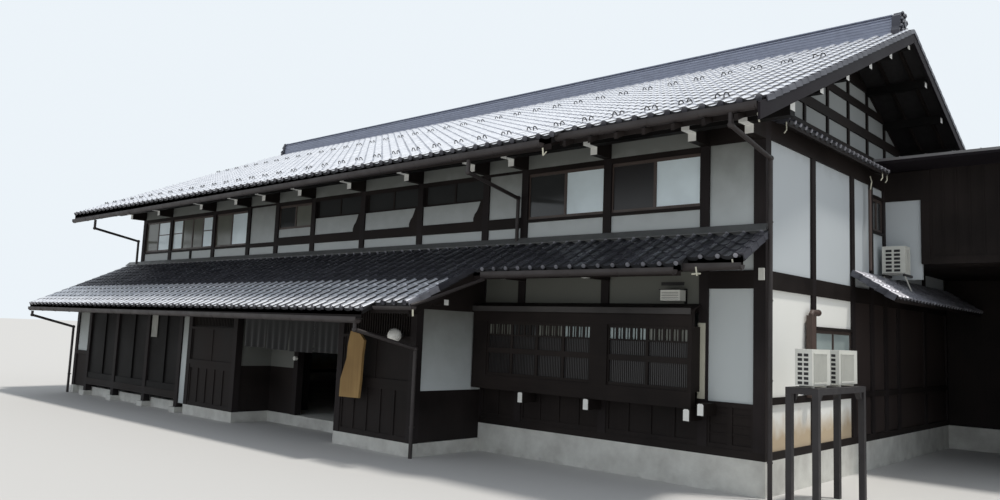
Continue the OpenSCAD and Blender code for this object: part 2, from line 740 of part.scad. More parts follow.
// A roof slab whose lower edge steps back one course of tiles at its right end
module roof_slab(x0, x1, step_x, y0, y1, z0, slope, thick) {
  z1 = z0 + slope * (y1 - y0);
  difference() {
    along_x(x0, x1, [[y0, z0 - thick], [y1, z1 - thick], [y1, z1], [y0, z0]]);
    span([step_x, y0 - 1, z0 - thick - 1], [x1 + 1, y0 + course, z1]);
  }
}

module main_slope() {
  end = verge_d - board_t;
  roof_slab(-house_l - end, end, main_step, -eave_d, half_d, eave_z, pitch, roof_t);
}

module main_roof_front() color(pale_tile) at_corner() main_slope();
module main_roof_rear() color(pale_tile) at_corner() to_rear() main_slope();

module main_ridge() color(dark_tile) at_corner() {
  w = ridge_w / 2;
  top = apex_z + ridge_h;
  along_x(-house_l + 156, verge_d - 330, [[half_d - w, main_z(half_d - w)], [half_d, apex_z],
    [half_d + w, main_z(half_d + w)], [half_d + w - 30, top - 70], [half_d + 80, top], [half_d - 80, top],
    [half_d - w + 30, top - 70]]);
}

module ridge_ornaments() color(dark_tile) at_corner()
  for (x = [-house_l + 66, verge_d - 330]) ridge_end(x, x < 0 ? 90 : 150);

// The end tile of the ridge: a shouldered plate that rises above the stack
module ridge_end(x, deep) {
  base = main_z(half_d - 230);
  top = apex_z + ridge_h + 65;
  along_x(x, x + deep, [[half_d - 230, base], [half_d, apex_z], [half_d + 230, base],
    [half_d + 250, base + 110], [half_d + 190, base + 200], [half_d + 170, top - 90],
    [half_d + 80, top - 40], [half_d + 50, top], [half_d - 50, top], [half_d - 80, top - 40],
    [half_d - 170, top - 90], [half_d - 190, base + 200], [half_d - 250, base + 110]]);
}

module bargeboards() color(timber * 1.6) at_corner() {
  verge_board();
  to_left() verge_board();
  to_rear() verge_board();
  to_rear() to_left() verge_board();
}

module verge_board() {
  y0 = 25 - eave_d;
  along_x(verge_d - board_t, verge_d, [[y0, main_z(y0) - 225], [half_d - 5, main_z(half_d - 5) - 225],
    [half_d - 5, main_z(half_d - 5)], [y0, main_z(y0)]]);
}

module purlins() color(timber) at_corner() {
  eave_purlin();
  to_rear() eave_purlin();
  gable_purlins();
  to_left() gable_purlins();
}

module eave_purlin()
  difference() {
    along_x(-house_l - purlin_end, purlin_end, [[purlin_lo, purlin_bot], [purlin_hi, purlin_bot],
      [purlin_hi, under_rafters(purlin_hi)], [purlin_lo, under_rafters(purlin_lo)]]);
    for (i = [0:n_front]) bracket(i);
  }

module gable_purlins() {
  w = gable_purlin_w / 2;
  for (k = [-purlin_n:purlin_n]) {
    y = half_d + k * purlin_gap;
    bot = under_rafters(y) - gable_purlin_h;
    along_x(-gable_in, purlin_end, concat([[y - w, bot], [y + w, bot], [y + w, under_rafters(y + w)]],
      k == 0 ? [[y, under_rafters(y)]] : [], [[y - w, under_rafters(y - w)]]));
  }
}

// Rafters at an even spacing from x1 to x0, with one more past each end
module rafter_row(x0, x1, y0, y1, z0, slope, depth) {
  n = ceil((x1 - x0) / rafter_gap);
  step = (x1 - x0) / n;
  for (k = [-1:n + 1])
    along_x(x0 + k * step - rafter_w / 2, x0 + k * step + rafter_w / 2, [[y0, z0 - depth],
      [y1, z0 - depth + slope * (y1 - y0)], [y1, z0 + slope * (y1 - y0)], [y0, z0]]);
}

module main_rafters() {
  y0 = fascia_t - eave_d;
  rafter_row(-house_l + post_w / 2, -post_w / 2, y0, half_d, main_z(y0) - roof_t, pitch, rafter_h);
}

// Rafters of a low roof, from the main wall to behind the fascia of its shorter edge
module low_rafters(x0, x1, eave, z, slope) {
  cut = course + fascia_t;
  rafter_row(x0, x1, cut - eave, 0, z + slope * cut - low_roof_t, slope, low_rafter_h);
}

module rafters() color(timber) at_corner() {
  main_rafters();
  to_rear() main_rafters();
  low_rafters(-house_l + post_w / 2, post_x(front_last), wing_eave, wing_eave_z, wing_slope);
  low_rafters(bay_left + 1000, -post_w / 2 - rafter_gap, pent_eave, pent_eave_z, pent_slope);
}

// Stepped brackets under the eaves at each post, and curved ones on the band over the wing
module wall_brackets() color(timber) at_corner() {
  for (i = [0:n_front]) {
    bracket(i);
    to_rear() bracket(i);
  }
  for (i = [5:7]) corbel(front_hi(i));
}

module bracket(i) {
  x = i == 0 ? -bracket_w / 2 : i == n_front ? -house_l + bracket_w / 2 : post_x(i);
  along_x(x - bracket_w / 2, x + bracket_w / 2, [[0, bracket_bot], [bracket_short, bracket_bot],
    [bracket_short, bracket_step], [bracket_long, bracket_step], [bracket_long, bracket_top],
    [0, bracket_top]]);
}

module corbel(x)
  along_y(0, set_back, [[x, band_top], [x - 230, band_top], [x - 235, band_top + 60],
    [x - 200, band_top + 140], [x - 150, band_top + 190], [x - 110, band_top + 260],
    [x - 60, clerestory_bot], [x, clerestory_bot]]);

// A low roof against the front wall, with the flashing that closes its top
module wing_roof() color(dark_tile) at_corner() {
  roof_slab(wing_verge_l, wing_verge_r, wing_step, -wing_eave, 0, wing_eave_z, wing_slope, low_roof_t);
  flashing(wing_verge_l + 500, wing_verge_r);
}

module pent_roof() color(dark_tile) at_corner() {
  roof_slab(wing_verge_r, pent_verge, pent_step, -pent_eave, 0, pent_eave_z, pent_slope, low_roof_t);
  flashing(wing_verge_r, 0);
}

module flashing(x0, x1)
  span([x0, -60, skirt_top - flashing_h - 40], [x1, 0, skirt_top]);

// Narrow roofs on the gable walls, and the lean-to along the right one
module gable_pents() color(dark_tile) at_corner() {
  gable_pent(rear_eave_y);
  to_left() gable_pent(house_d - corner_w);
  along_y(gable_lo(3) - post_w, house_d - lean_end, [[0, lean_head], [lean_out, lean_foot],
    [lean_out, lean_foot + lean_t], [0, lean_head + lean_t]]);
}

module gable_pent(y1)
  along_y(corner_w, y1, [[-gable_in, gable_pent_head], [pent_out, gable_pent_foot],
    [pent_out, gable_pent_foot + gable_pent_t], [-gable_in, gable_pent_head + gable_pent_t]]);

// Gutters and downpipes

module gutter(x0, x1, y, z0, z1) {
  fall = atan((z1 - z0) / (x1 - x0));
  translate([x0, y, z0]) rotate([0, -fall, 0]) rotate([90, 0, 90])
    difference() {
      linear_extrude(x1 - x0) difference() {
        circle(gutter_r);
        translate([-gutter_r, 0]) square([2 * gutter_r, gutter_r]);
      }
      translate([0, 0, gutter_wall]) linear_extrude(x1 - x0 - 2 * gutter_wall) circle(gutter_r - gutter_wall);
    }
}

module gutters() color(brown_metal) at_corner() {
  main_gutter();
  to_rear() main_gutter();
  gutter(-house_l - 410, wing_step + 40, wing_gutter_y, wing_gutter_hi, wing_gutter_lo);
  gutter(bay_left + 985, pent_step - 20, pent_gutter_y, pent_gutter_lo, pent_gutter_hi);
  gutter(pent_step - 20, 100, pent_gutter_y + course, pent_gutter_lo + 60, pent_gutter_hi + 60);
}

module main_gutter() {
  gutter(-house_l - 360, main_step - 80, main_gutter_y, main_gutter_lo, main_gutter_hi);
  gutter(main_step + 40, verge_d - 55, main_gutter_y + course, main_gutter_end - 10, main_gutter_end);
}

// A round pipe through a list of points, with a ball elbow at each bend
module pipe(points) {
  for (i = [0:len(points) - 2]) {
    d = points[i + 1] - points[i];
    translate(points[i]) rotate([0, acos(d[2] / norm(d)), atan2(d[1], d[0])])
      cylinder(d = pipe_d, h = norm(d));
  }
  for (i = [1:len(points) - 2]) translate(points[i]) sphere(d = elbow_d);
}

// A pipe from the outlet of a gutter at x back to the wall and down it, to z_end
module outlet_pipe(x, y, z_out, z_bend, x_wall, y_wall, z_wall, z_end)
  pipe([[x, y, z_out], [x, y, z_bend], [x_wall, y_wall, z_wall], [x_wall, y_wall, z_end]]);

module eave_pipe(x, y, x_wall, y_wall, z_out, drop, z_end)
  outlet_pipe(x, y, z_out, z_out - drop, x_wall, y_wall, z_out - drop - 120, z_end);

module wing_pipe(x, z_out, x_wall)
  outlet_pipe(x, wing_gutter_y, z_out, z_out - 115, x_wall, wing_y - wall_pipe_out, z_out - 400, 0);

module downpipes() color(brown_metal) at_corner() {
  eave_pipe(verge_d - 420, main_gutter_y + course, 95, -wall_pipe_out, eave_z - 50, 160, 0);
  eave_pipe(post_x(3) + 380, main_gutter_y, post_x(3) - 90, -70, eave_z - 210, 200, skirt_top - 20);
  eave_pipe(-house_l + 1110, main_gutter_y, -house_l - 60, -90, eave_z - 290, 230, skirt_top - 40);
  wing_pipe(wing_step - 30, wing_gutter_lo - 45, bay_left + 60);
  wing_pipe(-house_l - 220, wing_gutter_hi - 70, -house_l - wall_pipe_out);
}

// Air conditioners, their stand and small wall fittings

module air_conditioners() color(pale_metal) at_corner() {
  for (u = unit_y) {
    span([unit_x[0], u[0], stand_top + unit_foot], [unit_x[1], u[1], stand_top + unit_foot + unit_h]);
    for (y = [u[0] + 80, u[1] - 120])
      span([unit_x[0] + 20, y, stand_top], [unit_x[1] - 20, y + 40, stand_top + unit_foot]);
  }
  translate([60, rear_y - 400, small_unit_z]) cube(small_unit);
}

module unit_stand() color(timber) at_corner() {
  for (y = stand_y) {
    for (x = [stand_x[0], stand_x[1] - stand_post])
      span([x, y, 0], [x + stand_post, y + stand_post, stand_top]);
    span([stand_x[0], y, stand_top - stand_post], [stand_x[1], y + stand_post, stand_top]);
  }
  for (x = [stand_x[0], stand_x[1] - stand_post])
    span([x, stand_y[0], stand_top - stand_post], [x + stand_post, stand_y[1] + stand_post, stand_top]);
  for (x = [60, small_unit[0] + 20])
    translate([x, rear_y - 420, small_unit_z - small_unit_bar])
      cube([small_unit_bar, set_back + 420, small_unit_bar]);
}

// A vent hood over the lattice bay, a box on the corner post, a duct and a pipe on the gable
module wall_fittings() color(pale_metal) at_corner() {
  span([front_hi(2) - 560, -160, 2690], [front_hi(2) - 230, set_back, 2850]);
  span([-90, -40, 2990], [-10, 0, 3160]);
  span([0, 1440, stand_top - 250], [90, 1600, 2560]);
  translate([70, 4150, lean_head + 160]) cylinder(d = 55, h = 1450);
}

// Rear wing, a plain stub beyond the gable, open below its upper storey at the front

module rear_wing_walls() color(timber * 1.3) at_corner() {
  in_x = rear_wing_l - set_back - wall_t;
  in_y = rear_y + set_back + wall_t;
  span([rear_post, rear_y, rear_floor], [rear_post + post_w, rear_y + post_w, rear_top(rear_y + post_w)]);
  out_y = rear_y + set_back;
  along_x(rear_post + post_w, rear_wing_l,
    [[out_y, rear_floor], [in_y, rear_floor], [in_y, rear_top(in_y)], [out_y, rear_top(out_y)]]);
  span([0, rear_y, gable_head], [rear_post, rear_y + post_w, rear_top(rear_y + post_w)]);
  span([rear_wing_l - corner_w, out_y, base_top], [rear_wing_l, rear_y + corner_w, rear_floor]);
  along_x(in_x, rear_wing_l - set_back, [[in_y, base_top], [house_d, base_top], [house_d, rear_top(house_d)],
    [in_y, rear_top(in_y)]]);
  along_x(0, in_x, [[house_d - wall_t, base_top], [house_d, base_top], [house_d, rear_top(house_d)],
    [house_d - wall_t, rear_top(house_d - wall_t)]]);
  span([0, in_y, rear_floor], [in_x, house_d - wall_t, rear_floor + 60]);
}

// The rear wing's roof falls gently to the rear
function rear_top(y) = rear_eave_z - rear_fall * (y - rear_eave_y);

module rear_wing_roof() color(pale_metal * 0.8) at_corner() {
  y1 = house_d + rear_roof_out;
  along_x(0, rear_wing_l + rear_roof_out, [[rear_eave_y, rear_eave_z], [y1, rear_top(y1)],
    [y1, rear_top(y1) + rear_roof_t], [rear_eave_y, rear_eave_z + rear_roof_t]]);
}

foundation();
ground_floor();
wing_floor();
upper_floor();
main_posts();
front_beams();
side_beams();
gable_struts();
front_plaster();
side_plaster();
rear_plaster();
wall_boards();
upper_sashes();
upper_glass();
lower_sashes();
lower_glass();
lattice_bay();
bay_sashes();
bay_glass();
wing_posts();
wing_beams();
wing_plaster();
storm_shutters();
wing_lattices();
entrance_curtain();
sign_plank();
lamps();
main_roof_front();
main_roof_rear();
main_ridge();
ridge_ornaments();
bargeboards();
purlins();
rafters();
wall_brackets();
wing_roof();
pent_roof();
gable_pents();
gutters();
downpipes();
air_conditioners();
unit_stand();
wall_fittings();
rear_wing_walls();
rear_wing_roof();
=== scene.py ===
import math
import bmesh
import bpy
import numpy as np
from mathutils import Matrix, Vector


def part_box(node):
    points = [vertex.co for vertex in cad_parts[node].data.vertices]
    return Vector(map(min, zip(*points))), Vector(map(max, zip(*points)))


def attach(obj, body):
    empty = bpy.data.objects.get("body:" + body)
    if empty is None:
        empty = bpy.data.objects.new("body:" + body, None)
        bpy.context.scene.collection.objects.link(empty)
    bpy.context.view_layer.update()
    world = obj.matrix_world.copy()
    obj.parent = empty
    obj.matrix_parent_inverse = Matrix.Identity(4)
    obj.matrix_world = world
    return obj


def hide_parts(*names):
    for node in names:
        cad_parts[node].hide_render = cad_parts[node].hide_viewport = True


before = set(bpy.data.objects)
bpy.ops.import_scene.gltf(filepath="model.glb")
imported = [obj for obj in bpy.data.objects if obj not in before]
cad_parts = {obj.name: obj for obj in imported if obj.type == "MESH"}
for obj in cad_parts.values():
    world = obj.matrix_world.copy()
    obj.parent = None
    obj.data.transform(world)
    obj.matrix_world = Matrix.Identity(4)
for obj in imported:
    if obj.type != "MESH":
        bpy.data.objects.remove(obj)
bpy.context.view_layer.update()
rng = np.random.default_rng(7)
HOUSE_LO, HOUSE_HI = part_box("main_posts")
HOUSE_D = HOUSE_HI.y - HOUSE_LO.y
CORNER = np.array((HOUSE_HI.x, HOUSE_LO.y, 0.0))    # the house's front right corner

# Sizes of what the house is dressed with, in metres
TILE_W = 0.26          # one tile across
COURSE = 0.235         # how much of a tile shows up the slope
TILE_T = 0.020
SMALL_TILE_W = 0.20    # on the gables and the lean-to
SMALL_COURSE = 0.16
EAVE_STEP = 0.215      # how far the main part of an eave reaches past its stepped ends
MAIN_ROOF_T = 0.110    # the slabs under the tiles, measured upright
LOW_ROOF_T = 0.090
FLASHING_UP = 0.06     # how far a low roof's slab is turned up against the wall
STRIP_FOOT = 3.635     # above this a low roof's slab is the strip against the wall
FAR = 99.0             # a limit past the house
PANEL_IN = 0.035       # how far panels lie behind the face of the posts
WING_FACE = -1.640     # the face of the wing's posts
SILL_TOP = 0.60
DADO_TOP = 1.25
FRIEZE_FOOT = 5.015
PLATE_TOP = 5.28


# Reading the frame

def corners(name):
    """All vertices of a node."""
    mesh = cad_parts[name].data
    points = np.zeros(len(mesh.vertices) * 3, np.float32)
    mesh.vertices.foreach_get("co", points)
    return points.reshape(-1, 3).astype(float)


def solids(name):
    """The box of each separate solid of a node, as its lowest and highest corner."""
    points = corners(name)
    same = np.unique(np.round(points, 5), axis=0, return_inverse=True)[1].ravel()
    leader = list(range(same.max() + 1))

    def find(i):
        while leader[i] != i:
            leader[i] = leader[leader[i]]
            i = leader[i]
        return i

    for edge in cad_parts[name].data.edges:
        a, b = find(same[edge.vertices[0]]), find(same[edge.vertices[1]])
        if a != b:
            leader[max(a, b)] = min(a, b)
    group = np.array([find(i) for i in same])
    boxes = [(points[group == g].min(0), points[group == g].max(0)) for g in np.unique(group)]
    return sorted(boxes, key=lambda box: tuple(np.round((box[0] + box[1]) / 2, 3)))


def spot(x, y, z):
    """The place in the frame of a point measured from the house's front right corner."""
    return Vector((CORNER[0] + x, CORNER[1] + y, z))


def from_corner(lo, hi):
    """A box of the frame, measured from the house's front right corner."""
    return np.array(lo) - CORNER, np.array(hi) - CORNER


def placed_solids(name):
    """The box of each separate solid of a node, measured from the house's front right corner."""
    return [from_corner(*box) for box in solids(name)]


def post_row(name, face):
    """The posts that stand on a front face, from right to left."""
    return sorted((b for b in placed_solids(name) if b[0][1] < face + 0.01), key=lambda b: -b[0][0])


FRONT_POSTS = post_row("main_posts", 0.0)
WING_POSTS = post_row("wing_posts", WING_FACE)


def front_bay(i, posts=FRONT_POSTS):
    """The free width of bay i, from its left to its right end."""
    return posts[i][1][0], posts[i - 1][0][0]


# The panes of the upper windows in the front, from the left, and their tones: 0 dark, 1 dim, 2 grey, 3 pale
# with a painted reflection of the sky
FRONT_LIGHTS = sorted((b for b in placed_solids("upper_glass") if b[1][1] < 0.2), key=lambda b: b[0][0])
LIGHT_TONES = (2, 3, 3, 2, 2, 3, 2, 3, 1, 2, 1, 1, 1, 1, 1, 1, 1, 3, 0, 3)


# Making meshes

def arc(radius, turn, steps, high=None):
    """Points along part of a circle, or of an oval that is so high; they start at the right and go up."""
    high = radius if high is None else high
    turns = [turn * k / steps for k in range(steps + 1)]
    return [(radius * math.cos(t), high * math.sin(t)) for t in turns]


def circle(radius, sides):
    """The points of a whole circle."""
    return arc(radius, 2 * math.pi, sides)[:-1]


def new_object(name, data):
    """An object put into the scene."""
    made = bpy.data.objects.new(name, data)
    bpy.context.scene.collection.objects.link(made)
    return made


def ease_edges(piece, width, segments):
    """Narrow bevels along a piece's sharp edges."""
    bevel = piece.modifiers.new("edge", "BEVEL")
    bevel.width = width
    bevel.segments = segments
    bevel.limit_method = "ANGLE"


class Shape:
    """Gathers solids and sheets into one mesh."""

    def __init__(self):
        self.points = []
        self.faces = []
        self.slots = []

    def add(self, points, faces, slot=0):
        """One slot for all the faces, or a list with each face's own."""
        start = len(self.points)
        self.points += [tuple(p) for p in points]
        self.faces += [tuple(start + i for i in f) for f in faces]
        self.slots += slot if isinstance(slot, list) else [slot] * len(faces)

    def box(self, lo, hi, slot=0):
        (x0, y0, z0), (x1, y1, z1) = lo, hi
        self.add([(x0, y0, z0), (x1, y0, z0), (x1, y1, z0), (x0, y1, z0),
                  (x0, y0, z1), (x1, y0, z1), (x1, y1, z1), (x0, y1, z1)],
                 [(0, 3, 2, 1), (4, 5, 6, 7), (0, 1, 5, 4), (1, 2, 6, 5), (2, 3, 7, 6), (3, 0, 4, 7)], slot)

    def bar(self, start, end, slot=0):
        """A solid between two outlines with as many points each."""
        n = len(start)
        faces = [tuple(range(n))[::-1], tuple(range(n, 2 * n))]
        faces += [(i, (i + 1) % n, n + (i + 1) % n, n + i) for i in range(n)]
        self.add([*start, *end], faces, slot)

    def round_end(self, ring, inner, slot=0):
        """A face on the outer ring, and the side that runs back to the inner one; it is open behind."""
        n = len(ring)
        side = [(k, n + k, n + (k + 1) % n, (k + 1) % n) for k in range(n)]
        self.add([*ring, *inner], [tuple(range(n)), *side], slot)

    def prism(self, outline, axis, a, b):
        """An outline drawn out along x or y from a to b; its points are in the other two axes' order."""
        self.bar(*([(d, u, v) if axis == "x" else (u, d, v) for u, v in outline] for d in (a, b)))

    def tube(self, path, radius, sides=8):
        """A round bar along a path."""
        path = [Vector(p) for p in path]
        rings = []
        across = None
        for i, p in enumerate(path):
            ahead = (path[min(i + 1, len(path) - 1)] - path[max(i - 1, 0)]).normalized()
            if across is None:
                across = ahead.orthogonal().normalized()
            across = (across - ahead * across.dot(ahead)).normalized()
            other = ahead.cross(across)
            rings.append([p + u * across + v * other for u, v in circle(radius, sides)])
        points = [p for ring in rings for p in ring]
        faces = []
        for r in range(len(rings) - 1):
            for k in range(sides):
                j = (k + 1) % sides
                faces.append((r * sides + k, r * sides + j, (r + 1) * sides + j, (r + 1) * sides + k))
        faces += [tuple(range(sides))[::-1], tuple((len(rings) - 1) * sides + k for k in range(sides))]
        self.add(points, faces)

    def piece(self, name, materials, slot_name, smooth=False, edge=0.0, closed=True):
        """The finished object, which rides on the house."""
        mesh = bpy.data.meshes.new(name)
        mesh.from_pydata(self.points, [], self.faces)
        for m in materials if isinstance(materials, (list, tuple)) else [materials]:
            mesh.materials.append(m)
        mesh.polygons.foreach_set("material_index", self.slots)
        if closed:
            shell = bmesh.new()
            shell.from_mesh(mesh)
            bmesh.ops.recalc_face_normals(shell, faces=shell.faces)
            shell.to_mesh(mesh)
            shell.free()
        if smooth:
            mesh.polygons.foreach_set("use_smooth", [True] * len(mesh.polygons))
            mesh.set_sharp_from_angle(angle=math.radians(smooth))
        mesh.update()
        piece = new_object(name, mesh)
        if edge:
            ease_edges(piece, edge, 1)
        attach(piece, "root")
        return piece


class Wall:
    """An upright face on which flat pieces are laid: it runs along x or y and looks out one way."""

    def __init__(self, axis, face, out):
        self.axis, self.face, self.out = axis, face, out

    def lay(self, shape, u0, u1, z0, z1, thick, under=0.0):
        """A flat piece from u0 to u1 and from z0 to z1 on the face, or on something that stands under it."""
        a, b = sorted((self.face + self.out * under, self.face + self.out * (under + thick)))
        if self.axis == "x":
            shape.box(spot(u0, a, z0), spot(u1, b, z1))
        else:
            shape.box(spot(a, u0, z0), spot(b, u1, z1))

    def row(self, shape, u0, u1, z0, z1, count, width, thick, ends=False):
        """Upright pieces at an even spacing; the ends of the row can have one too."""
        for k in range(count + 1) if ends else range(1, count):
            u = u0 + (u1 - u0) * k / count
            u = min(max(u, u0 + width / 2), u1 - width / 2)
            self.lay(shape, u - width / 2, u + width / 2, z0, z1, thick)


FRONT = Wall("x", PANEL_IN, -1)
REAR = Wall("x", HOUSE_D - PANEL_IN, 1)
WING = Wall("x", WING_FACE + PANEL_IN, -1)


# Shared shader effects

def new_group(name, inputs, outputs):
    """An empty node group with named sockets. Inputs are (name, kind, default)."""
    group = bpy.data.node_groups.new(name, "ShaderNodeTree")
    for label, kind, default in inputs:
        socket = group.interface.new_socket(label, in_out="INPUT", socket_type="NodeSocket" + kind)
        socket.default_value = default
    for label, kind in outputs:
        group.interface.new_socket(label, in_out="OUTPUT", socket_type="NodeSocket" + kind)
    return group, group.nodes.new("NodeGroupInput"), group.nodes.new("NodeGroupOutput")


def node(tree, kind, links=None, **settings):
    """A node with its settings and input values or links."""
    made = tree.nodes.new("ShaderNode" + kind)
    for key, value in settings.items():
        setattr(made, key, value)
    for key, value in (links or {}).items():
        if isinstance(value, bpy.types.NodeSocket):
            tree.links.new(value, made.inputs[key])
        else:
            made.inputs[key].default_value = value
    return made


def mix(tree, factor, a, b):
    """A colour mix of a and b."""
    return node(tree, "Mix", {0: factor, 6: a, 7: b}, data_type="RGBA").outputs[2]


def times(tree, value, factor):
    """A value at part of its strength."""
    return node(tree, "Math", {0: value, 1: factor}, operation="MULTIPLY").outputs[0]


def ramp(tree, value, low, high, lo_out=0.0, hi_out=1.0):
    """Maps a value's range to another, clamped."""
    return node(tree, "MapRange", {"Value": value, "From Min": low, "From Max": high,
                                   "To Min": lo_out, "To Max": hi_out}).outputs[0]


def make_grain_group():
    """Streaks along one direction, for wood and brushed faces."""
    group, inputs, outputs = new_group(
        "grain", [("Stretch", "Vector", (1, 1, 1)), ("Scale", "Float", 30.0), ("Strength", "Float", 0.5)],
        [("Streaks", "Float"), ("Height", "Float")])
    place = node(group, "TexCoord").outputs["Object"]
    stretched = node(group, "VectorMath", {0: place, 1: inputs.outputs["Stretch"]}, operation="MULTIPLY")
    fine = node(group, "TexNoise", {"Vector": stretched.outputs[0], "Scale": inputs.outputs["Scale"],
                                    "Detail": 5.0, "Roughness": 0.65})
    broad = node(group, "TexNoise", {"Vector": place, "Scale": 0.9, "Detail": 3.0})
    streaks = times(group, fine.outputs[0], inputs.outputs["Strength"])
    total = node(group, "Math", {0: streaks, 1: broad.outputs[0], 2: broad.outputs[0]},
                 operation="MULTIPLY_ADD")
    group.links.new(ramp(group, total.outputs[0], 0.35, 1.05), outputs.inputs["Streaks"])
    group.links.new(fine.outputs[0], outputs.inputs["Height"])
    return group


def make_grime_and_shade_group():
    """Dirt that gathers low on the walls, and faint blotches everywhere; the same height mask also paints
    shade high on walls, under the eaves and low roofs.
    """
    group, inputs, outputs = new_group(
        "grime", [("Top", "Float", 1.0), ("Fade", "Float", 0.6), ("Blotch Scale", "Float", 1.5)],
        [("Low", "Float"), ("Blotches", "Float")])
    place = node(group, "TexCoord").outputs["Object"]
    height = node(group, "SeparateXYZ", {0: place}).outputs[2]
    rough = node(group, "TexNoise", {"Vector": place, "Scale": 3.0, "Detail": 4.0})
    uneven = node(group, "Math", {0: rough.outputs[0], 1: 0.5, 2: height}, operation="MULTIPLY_ADD")
    fade_end = node(group, "Math", {0: inputs.outputs["Top"], 1: inputs.outputs["Fade"]}, operation="ADD")
    low = node(group, "MapRange", {"Value": uneven.outputs[0], "From Min": fade_end.outputs[0],
                                   "From Max": inputs.outputs["Top"], "To Min": 0.0, "To Max": 1.0})
    blotch = node(group, "TexNoise", {"Vector": place, "Scale": inputs.outputs["Blotch Scale"],
                                      "Detail": 6.0, "Roughness": 0.6})
    group.links.new(low.outputs[0], outputs.inputs["Low"])
    group.links.new(ramp(group, blotch.outputs[0], 0.35, 0.7), outputs.inputs["Blotches"])
    return group


def make_speckle_group():
    """Fine pits and grit."""
    group, inputs, outputs = new_group(
        "speckle", [("Scale", "Float", 60.0)], [("Spots", "Float"), ("Height", "Float")])
    place = node(group, "TexCoord").outputs["Object"]
    grit = node(group, "TexNoise", {"Vector": place, "Scale": inputs.outputs["Scale"], "Detail": 3.0})
    group.links.new(ramp(group, grit.outputs[0], 0.45, 0.65), outputs.inputs["Spots"])
    group.links.new(grit.outputs[0], outputs.inputs["Height"])
    return group


GRAIN = make_grain_group()
GRIME_AND_SHADE = make_grime_and_shade_group()
SPECKLE = make_speckle_group()


def use(tree, group, **values):
    """A node group placed in a material, with its own values."""
    made = tree.nodes.new("ShaderNodeGroup")
    made.node_tree = group
    for key, value in values.items():
        made.inputs[key.replace("_", " ")].default_value = value
    return made


def finish(name, **sockets):
    """A new material: its tree and its Principled shader, with plain values set."""
    made = bpy.data.materials.new(name)
    made.use_nodes = True
    tree = made.node_tree
    bsdf = tree.nodes["Principled BSDF"]
    for key, value in sockets.items():
        bsdf.inputs[key.replace("_", " ")].default_value = value
    return made, tree, bsdf


def colour(tone, share=1.0):
    """A tone as a socket takes it, or a darker share of it."""
    return (*(share * v for v in tone), 1.0)


def bump(tree, bsdf, height, strength, distance):
    made = node(tree, "Bump", {"Height": height, "Strength": strength, "Distance": distance})
    tree.links.new(made.outputs[0], bsdf.inputs["Normal"])


# Finishes

def timber(name, along, dark, light, roughness=0.6, scale=26.0):
    """Stained timber with its grain along x, y or z."""
    made, tree, bsdf = finish(name, Specular_IOR_Level=0.1)
    stretch = {"x": (0.06, 1, 1), "y": (1, 0.06, 1), "z": (1, 1, 0.06)}[along]
    grain = use(tree, GRAIN, Stretch=stretch, Scale=scale, Strength=0.9)
    grime = use(tree, GRIME_AND_SHADE, Top=0.35, Fade=0.7, Blotch_Scale=0.8)
    tone = mix(tree, grain.outputs["Streaks"], colour(dark), colour(light))
    tone = mix(tree, times(tree, grime.outputs["Low"], 0.35), tone, colour([0.8 * v + 0.02 for v in light]))
    tree.links.new(tone, bsdf.inputs["Base Color"])
    tree.links.new(ramp(tree, grain.outputs["Streaks"], 0, 1, roughness - 0.1, roughness + 0.1),
                   bsdf.inputs["Roughness"])
    bump(tree, bsdf, grain.outputs["Height"], 0.35, 0.003)
    return made


def lime_plaster(name, tone, stain, low_tone, top, shade_bands=()):
    """Trowelled plaster with another tone low on the wall, a stain on most walls; each shade band paints
    shade above a height, as (from, fade, tone).
    """
    made, tree, bsdf = finish(name, Roughness=0.85)
    grime = use(tree, GRIME_AND_SHADE, Top=top, Fade=0.35, Blotch_Scale=0.7)
    speckle = use(tree, SPECKLE, Scale=45.0)
    surface = mix(tree, times(tree, grime.outputs["Blotches"], 0.35), colour(tone), colour(stain))
    surface = mix(tree, grime.outputs["Low"], surface, colour(low_tone))
    for start, fade, shade_tone in shade_bands:
        shade_height = use(tree, GRIME_AND_SHADE, Top=start + 0.25, Fade=fade)
        surface = mix(tree, shade_height.outputs["Low"], colour(shade_tone), surface)
    tree.links.new(surface, bsdf.inputs["Base Color"])
    bump(tree, bsdf, speckle.outputs["Height"], 0.2, 0.004)
    return made


def fired_tile(name, tone, shade, metallic, roughness):
    """Smoked, fired tiles, each a little different."""
    made, tree, bsdf = finish(name, Metallic=metallic)
    own = node(tree, "Attribute", attribute_name="tile_tone").outputs["Fac"]
    speckle = use(tree, SPECKLE, Scale=9.0)
    surface = mix(tree, own, colour(shade), colour(tone))
    surface = mix(tree, times(tree, speckle.outputs["Spots"], 0.25), surface, colour(shade, 0.6))
    tree.links.new(surface, bsdf.inputs["Base Color"])
    tree.links.new(ramp(tree, own, 0, 1, roughness + 0.08, roughness - 0.08), bsdf.inputs["Roughness"])
    bump(tree, bsdf, speckle.outputs["Height"], 0.15, 0.004)
    return made


def painted(name, tone, roughness=0.45, metallic=0.0, worn=0.25):
    """Paint or coated metal with faint dirt."""
    made, tree, bsdf = finish(name, Metallic=metallic)
    grime = use(tree, GRIME_AND_SHADE, Top=-5.0, Fade=0.3, Blotch_Scale=4.0)
    surface = mix(tree, times(tree, grime.outputs["Blotches"], worn), colour(tone), colour(tone, 0.55))
    tree.links.new(surface, bsdf.inputs["Base Color"])
    tree.links.new(ramp(tree, grime.outputs["Blotches"], 0, 1, roughness, roughness + 0.2),
                   bsdf.inputs["Roughness"])
    return made


